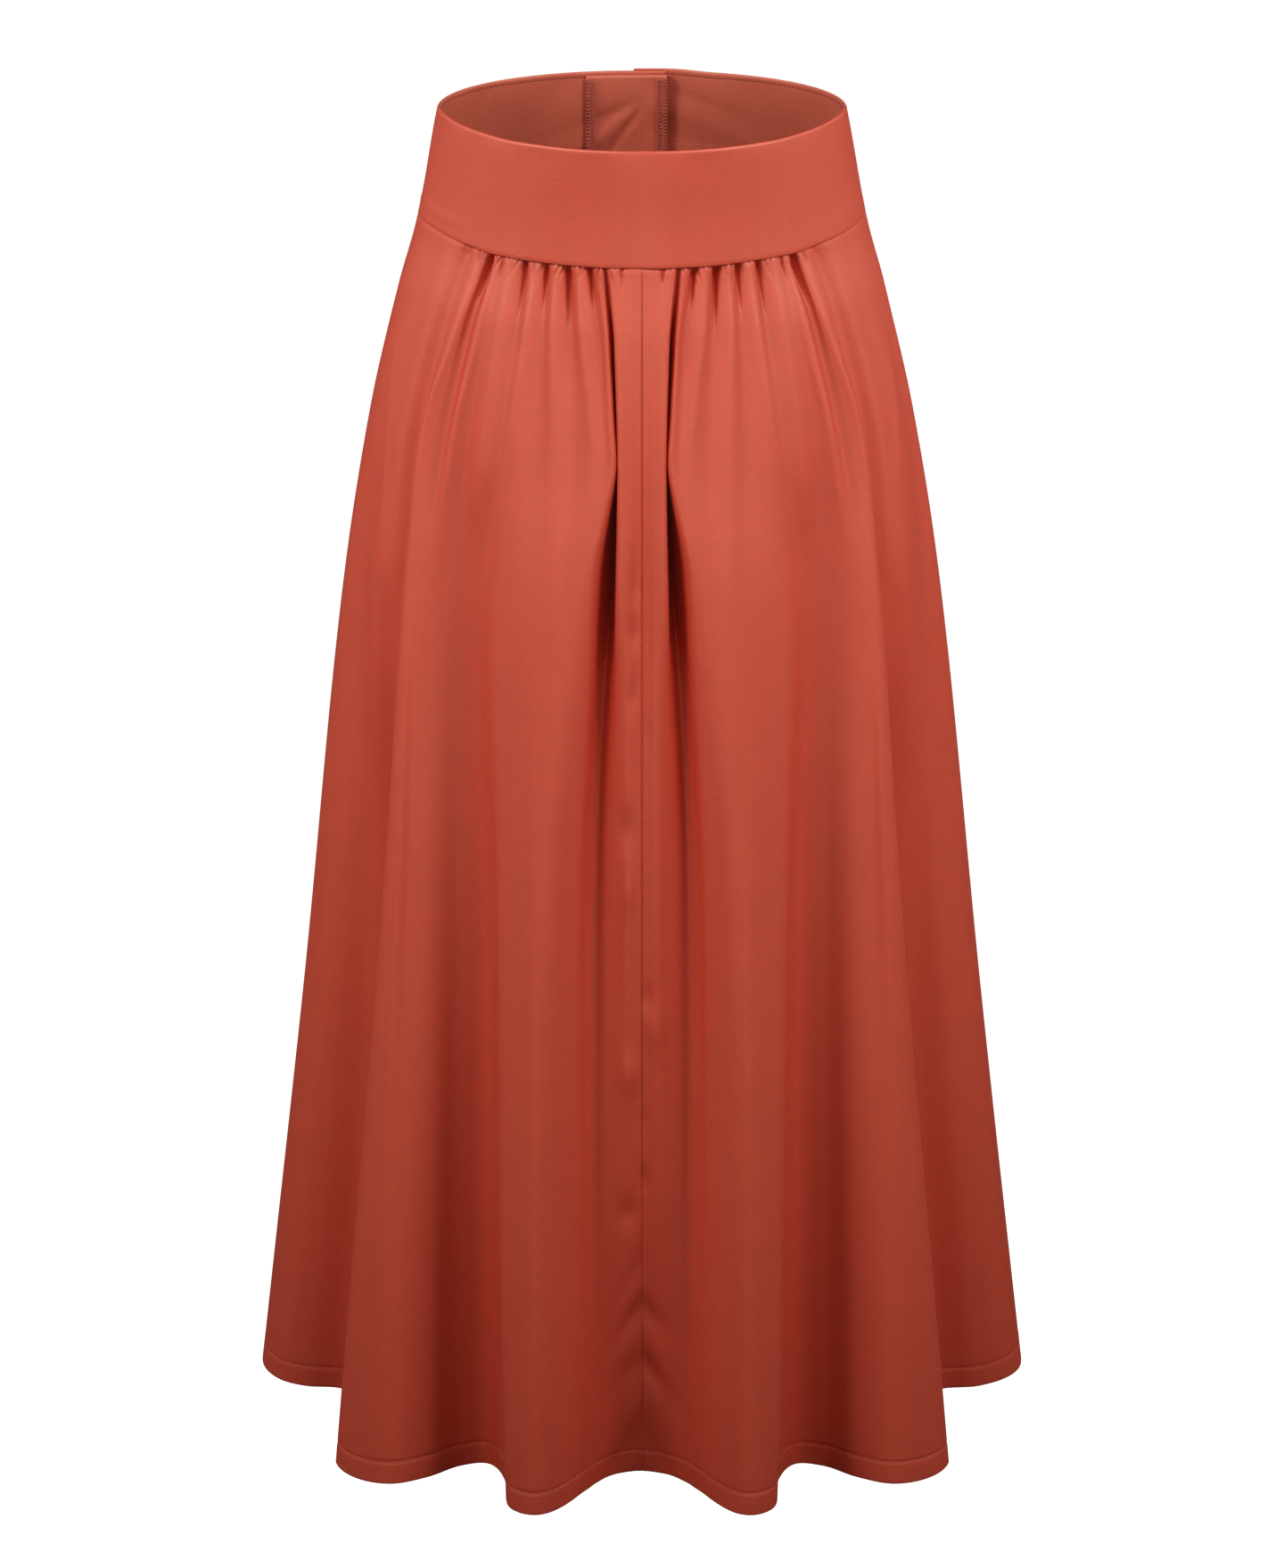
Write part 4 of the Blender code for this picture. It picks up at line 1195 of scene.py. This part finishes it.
def weave_satin(tree, shader, roughness, sheen, shade):
    """Polyester satin, woven with long warp floats: smooth and softly shiny, with a faint grain and painted
    shade in its folds.

    The floats are about 0.1 mm wide, too fine to show, so they are drawn as ribs 0.9 mm wide.
    """
    rib_mm, mottle_mm, slub_mm, painted_shade_reach_mm = 0.9, 20.0, 1.1, 45.0
    uv = add_node(tree, "UVMap", {"uv_map": "cloth"})
    place = add_node(tree, "TexCoord").outputs["Object"]
    # Slubs are five times as long as they are thick: the eye sees a faint streak along the weft
    along = add_node(tree, "Mapping", Vector=uv, Scale=(0.2, 1.0, 1.0))
    slub = add_node(tree, "TexNoise", Vector=along, Scale=spot_scale(slub_mm), Detail=4.0)
    mottle = add_node(tree, "TexNoise", Vector=place, Scale=spot_scale(mottle_mm), Detail=3.0)
    streaks = add_node(tree, "Math", SCALE_AND_ADD, in0=slub, in1=0.6, in2=0.1)
    tone = add_node(tree, "Math", SCALE_AND_ADD, in0=mottle, in1=0.2, in2=streaks)
    right = add_node(tree, "MixRGB", Fac=tone, **tones(shade, 0.66, 1.34))
    wrong = add_node(tree, "MixRGB", Fac=tone, **tones(cloth().satin_back, 0.66, 1.34))
    inside = add_node(tree, "NewGeometry").outputs["Backfacing"]
    both = add_node(tree, "MixRGB", Fac=inside, Color1=right, Color2=wrong)
    # Painted shade: where other cloth lies within this reach, the colour is multiplied darker and redder and
    # the shine is lowered, as shade falls in folds
    folds = add_node(tree, "AmbientOcclusion", {"samples": 6}, Distance=painted_shade_reach_mm * MM)
    unshaded_share = add_node(tree, "MapRange", Value=folds.outputs["AO"], From_Min=0.3, From_Max=0.95)
    multiply_blend = {"blend_type": "MULTIPLY"}
    painted_fold_shade = add_node(tree, "MixRGB", multiply_blend, Fac=1.0, Color1=both, Color2=(0.84, 0.58, 0.54, 1.0))
    # The rib and the slubs stand up by a hair, which breaks the shine into a soft one
    across = {"bands_direction": "Y"}
    rib = add_node(tree, "TexWave", across, Vector=uv, Scale=rib_scale(rib_mm), Distortion=4.0, Detail=3.0)
    height = add_node(tree, "Math", SCALE_AND_ADD, in0=rib.outputs["Fac"], in1=0.35, in2=slub)
    set_inputs(
        tree, shader,
        # Painted shade in the folds: a darker, redder base colour and less shine there
        Base_Color=add_node(tree, "MixRGB", Fac=unshaded_share, Color1=painted_fold_shade, Color2=both),
        Specular_IOR_Level=add_node(tree, "MapRange", Value=unshaded_share, To_Min=0.25, To_Max=1.0),
        Roughness=add_node(tree, "MapRange", Value=slub, To_Min=roughness - 0.04, To_Max=roughness + 0.05),
        Normal=add_node(tree, "Bump", Strength=0.15, Distance=0.0002, Height=height),
        IOR=1.55,
        Specular_Tint=rgba(hex_to_linear("#FFF2D8")),
        Sheen_Weight=sheen,
        Sheen_Roughness=0.45,
        Sheen_Tint=rgba(hex_to_linear("#F6C3B0")),
    )


def satin():
    return material_named("polyester_satin", weave_satin, 0.56, 0.06, cloth().satin)


def band_satin():
    """The same satin held flat by interfacing, so it shines a little more evenly."""
    return material_named("interfaced_satin", weave_satin, 0.54, 0.14, cloth().satin)


def facing_satin():
    """The satin inside the waistband, with its duller side to the eye."""
    return material_named("facing_satin", weave_satin, 0.6, 0.14, cloth().satin_back)


def twist_thread(tree, shader, thread_colour):
    """Spun polyester thread, twisted from two plies: matt, with slanted plies about 0.6 mm wide."""
    ply_mm = 0.6
    place = add_node(tree, "TexCoord").outputs["Object"]
    slanted = {"bands_direction": "DIAGONAL"}
    ply = add_node(tree, "TexWave", slanted, Vector=place, Scale=rib_scale(ply_mm)).outputs["Fac"]
    tone = add_node(tree, "MixRGB", Fac=ply, **tones(thread_colour, 0.8, 1.1))
    set_inputs(tree, shader, Base_Color=tone, Roughness=0.75, Sheen_Weight=0.2)


def cotton_thread(name, thread_colour):
    return material_named(name, twist_thread, thread_colour)


def cast_resin(tree, shader):
    """Polyester resin button, cast and tumbled: glossy, clouded like horn inside."""
    cloud_mm = 5.0
    place = add_node(tree, "TexCoord").outputs["Object"]
    scale = spot_scale(cloud_mm)
    cloud = add_node(tree, "TexNoise", Vector=place, Scale=scale, Detail=4.0, Distortion=1.2)
    tone = add_node(tree, "MixRGB", Fac=cloud, **tones(sewing().button_colour, 0.75, 1.25))
    set_inputs(tree, shader, Base_Color=tone, Roughness=0.22, IOR=1.54)


def paint_white(tree, shader):
    """Matt white paint with a hardly visible grain, evenly lit so that the surround stays white."""
    grain = add_node(tree, "TexNoise", Scale=6.0)
    whites = [rgba(hex_to_linear(code)) for code in ("#F7F6F4", "#FAF9F7")]
    tone = add_node(tree, "MixRGB", Fac=grain, Color1=whites[0], Color2=whites[1])
    glow = stage().floor_light
    set_inputs(tree, shader, Base_Color=tone, Roughness=0.9, Emission_Color=tone, Emission_Strength=glow)


# --- Stage: places and sizes here are in metres ---

FLOOR_RADIUS, FLOOR_CORNERS = 30.0, 96
SOFTBOX_SPREAD = 60
CAMERA_PLACE, CAMERA_LOOKS_DOWN = (0.0, -2.87, 0.7971), 23.078
SENSOR_MM, LENS_MM = 36.0, 116.85


def link(name, data):
    """A new object of the scene."""
    thing = bpy.data.objects.new(name, data)
    bpy.context.scene.collection.objects.link(thing)
    return thing


def softbox(name, location, target_height, width, height, power):
    """A softbox with a grid that keeps its light within its spread."""
    light = bpy.data.lights.new(name, "AREA")
    light.shape, light.size, light.size_y, light.energy = "RECTANGLE", width, height, power
    light.spread = math.radians(SOFTBOX_SPREAD)
    box = link(name, light)
    box.location = location
    target = Vector((0.0, 0.0, target_height))
    box.rotation_euler = (target - box.location).to_track_quat("-Z", "Y").to_euler()


def make_floor():
    """The floor looks white by itself, and none of its light washes up over the cloth."""
    mesh = bpy.data.meshes.new("floor")
    angles = [i * math.tau / FLOOR_CORNERS for i in range(FLOOR_CORNERS)]
    ring = [(FLOOR_RADIUS * math.cos(a), FLOOR_RADIUS * math.sin(a), -stage().floor_drop) for a in angles]
    mesh.from_pydata(ring, [], [list(range(FLOOR_CORNERS))])
    floor = link("floor", mesh)
    floor.visible_diffuse = floor.visible_glossy = False
    mesh.materials.append(material_named("matt_white_paint", paint_white))


def make_lights():
    """Pairs of softboxes at both sides, one low in front, and even light from all round."""
    for side, name in ((-1, "left"), (1, "right")):
        softbox(f"{name}_key_softbox", (1.4 * side, -0.9, 1.2), -0.3, 0.6, 0.6, stage().key_power)
        softbox(f"{name}_high_softbox", (1.0 * side, -1.3, 1.4), -0.3, 0.6, 0.6, stage().high_power)
        softbox(f"{name}_side_softbox", (2.1 * side, -0.6, 0.1), -0.4, 0.6, 1.6, stage().side_power)
        softbox(f"{name}_back_softbox", (1.9 * side, 0.7, 0.5), -0.4, 0.6, 1.2, stage().back_power)
    softbox("front_softbox", (0.0, -2.2, 0.2), -0.2, 4.0, 0.3, stage().front_power)
    world = bpy.data.worlds.new("studio_air")
    bpy.context.scene.world = world
    world.use_nodes = True
    background = world.node_tree.nodes["Background"]
    set_inputs(world.node_tree, background, Color=(1.0, 1.0, 1.0, 1.0), Strength=stage().room_light)


def make_camera():
    """A camera in front of the skirt, above the waist and looking down."""
    camera = bpy.data.cameras.new("camera")
    camera.sensor_width, camera.lens = SENSOR_MM, LENS_MM
    stand = link("camera", camera)
    stand.location = CAMERA_PLACE
    stand.rotation_euler = (math.radians(90 - CAMERA_LOOKS_DOWN), 0.0, 0.0)
    bpy.context.scene.camera = stand
    bpy.context.scene.view_settings.view_transform = "Standard"


def finish_buttons():
    """The buttons keep their solids' shape and get the resin's finish."""
    resin = material_named("polyester_resin", cast_resin)
    for number_of_button in range(1, 5):
        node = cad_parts[f"button_{number_of_button}"]
        if not node.material_slots:
            node.data.materials.append(resin)
        for slot in node.material_slots:
            slot.material = resin


# --- The add-on ---


class SKIRT_OT_waistband(Operator):
    """Make the three parts of the waistband"""

    bl_idname = "skirt.waistband"
    bl_label = "Waistband"

    def execute(self, context):
        make_waistband()
        return {"FINISHED"}


class SKIRT_OT_panels(Operator):
    """Make the gathered front and back of the skirt"""

    bl_idname = "skirt.panels"
    bl_label = "Front and back"

    def execute(self, context):
        make_front()
        make_back()
        return {"FINISHED"}


class SKIRT_OT_lap(Operator):
    """Make the lap's end piece and the strip below it"""

    bl_idname = "skirt.lap"
    bl_label = "Lap"

    def execute(self, context):
        make_end_piece()
        make_lap_strip()
        return {"FINISHED"}


class SKIRT_OT_sewing(Operator):
    """Sew the hem, the seams, the band and the lap strip"""

    bl_idname = "skirt.sewing"
    bl_label = "Stitches"

    def execute(self, context):
        make_hem_stitches()
        make_band_stitches()
        make_strip_stitches()
        make_seam_stitches()
        return {"FINISHED"}


class SKIRT_OT_overlocking(Operator):
    """Overlock the cut edges of the lap's end piece"""

    bl_idname = "skirt.overlocking"
    bl_label = "Overlocking"

    def execute(self, context):
        make_overlocking()
        return {"FINISHED"}


class SKIRT_OT_buttons(Operator):
    """Give the buttons their finish"""

    bl_idname = "skirt.buttons"
    bl_label = "Buttons"

    def execute(self, context):
        finish_buttons()
        return {"FINISHED"}


class SKIRT_OT_stage(Operator):
    """Set up the floor, the light and the camera"""

    bl_idname = "skirt.stage"
    bl_label = "Stage"

    def execute(self, context):
        make_floor()
        make_lights()
        make_camera()
        return {"FINISHED"}


class SKIRT_PT_pieces(Panel):
    """Lists the skirt's pieces"""

    bl_idname = "SKIRT_PT_pieces"
    bl_label = "Satin midi skirt"
    bl_space_type = "VIEW_3D"
    bl_region_type = "UI"
    bl_category = "Skirt"

    def draw(self, context):
        for operator in OPERATORS:
            self.layout.operator(operator.bl_idname)
        for group in (context.scene.skirt_cloth, context.scene.skirt_sewing, context.scene.skirt_stage):
            box = self.layout.box()
            for name in group.__annotations__:
                box.prop(group, name)


GROUPS = {"skirt_cloth": SkirtCloth, "skirt_sewing": SkirtSewing, "skirt_stage": SkirtStage}
OPERATORS = (
    SKIRT_OT_waistband,
    SKIRT_OT_panels,
    SKIRT_OT_lap,
    SKIRT_OT_sewing,
    SKIRT_OT_overlocking,
    SKIRT_OT_buttons,
    SKIRT_OT_stage,
)


def register():
    for kind in (*GROUPS.values(), *OPERATORS, SKIRT_PT_pieces):
        bpy.utils.register_class(kind)
    for name, group in GROUPS.items():
        setattr(bpy.types.Scene, name, PointerProperty(type=group))


def unregister():
    for name in GROUPS:
        delattr(bpy.types.Scene, name)
    for kind in (SKIRT_PT_pieces, *reversed(OPERATORS), *reversed(GROUPS.values())):
        bpy.utils.unregister_class(kind)


def main():
    register()
    for operator in OPERATORS:
        family, name = operator.bl_idname.split(".")
        getattr(getattr(bpy.ops, family), name)()


if __name__ == "__main__":
    main()
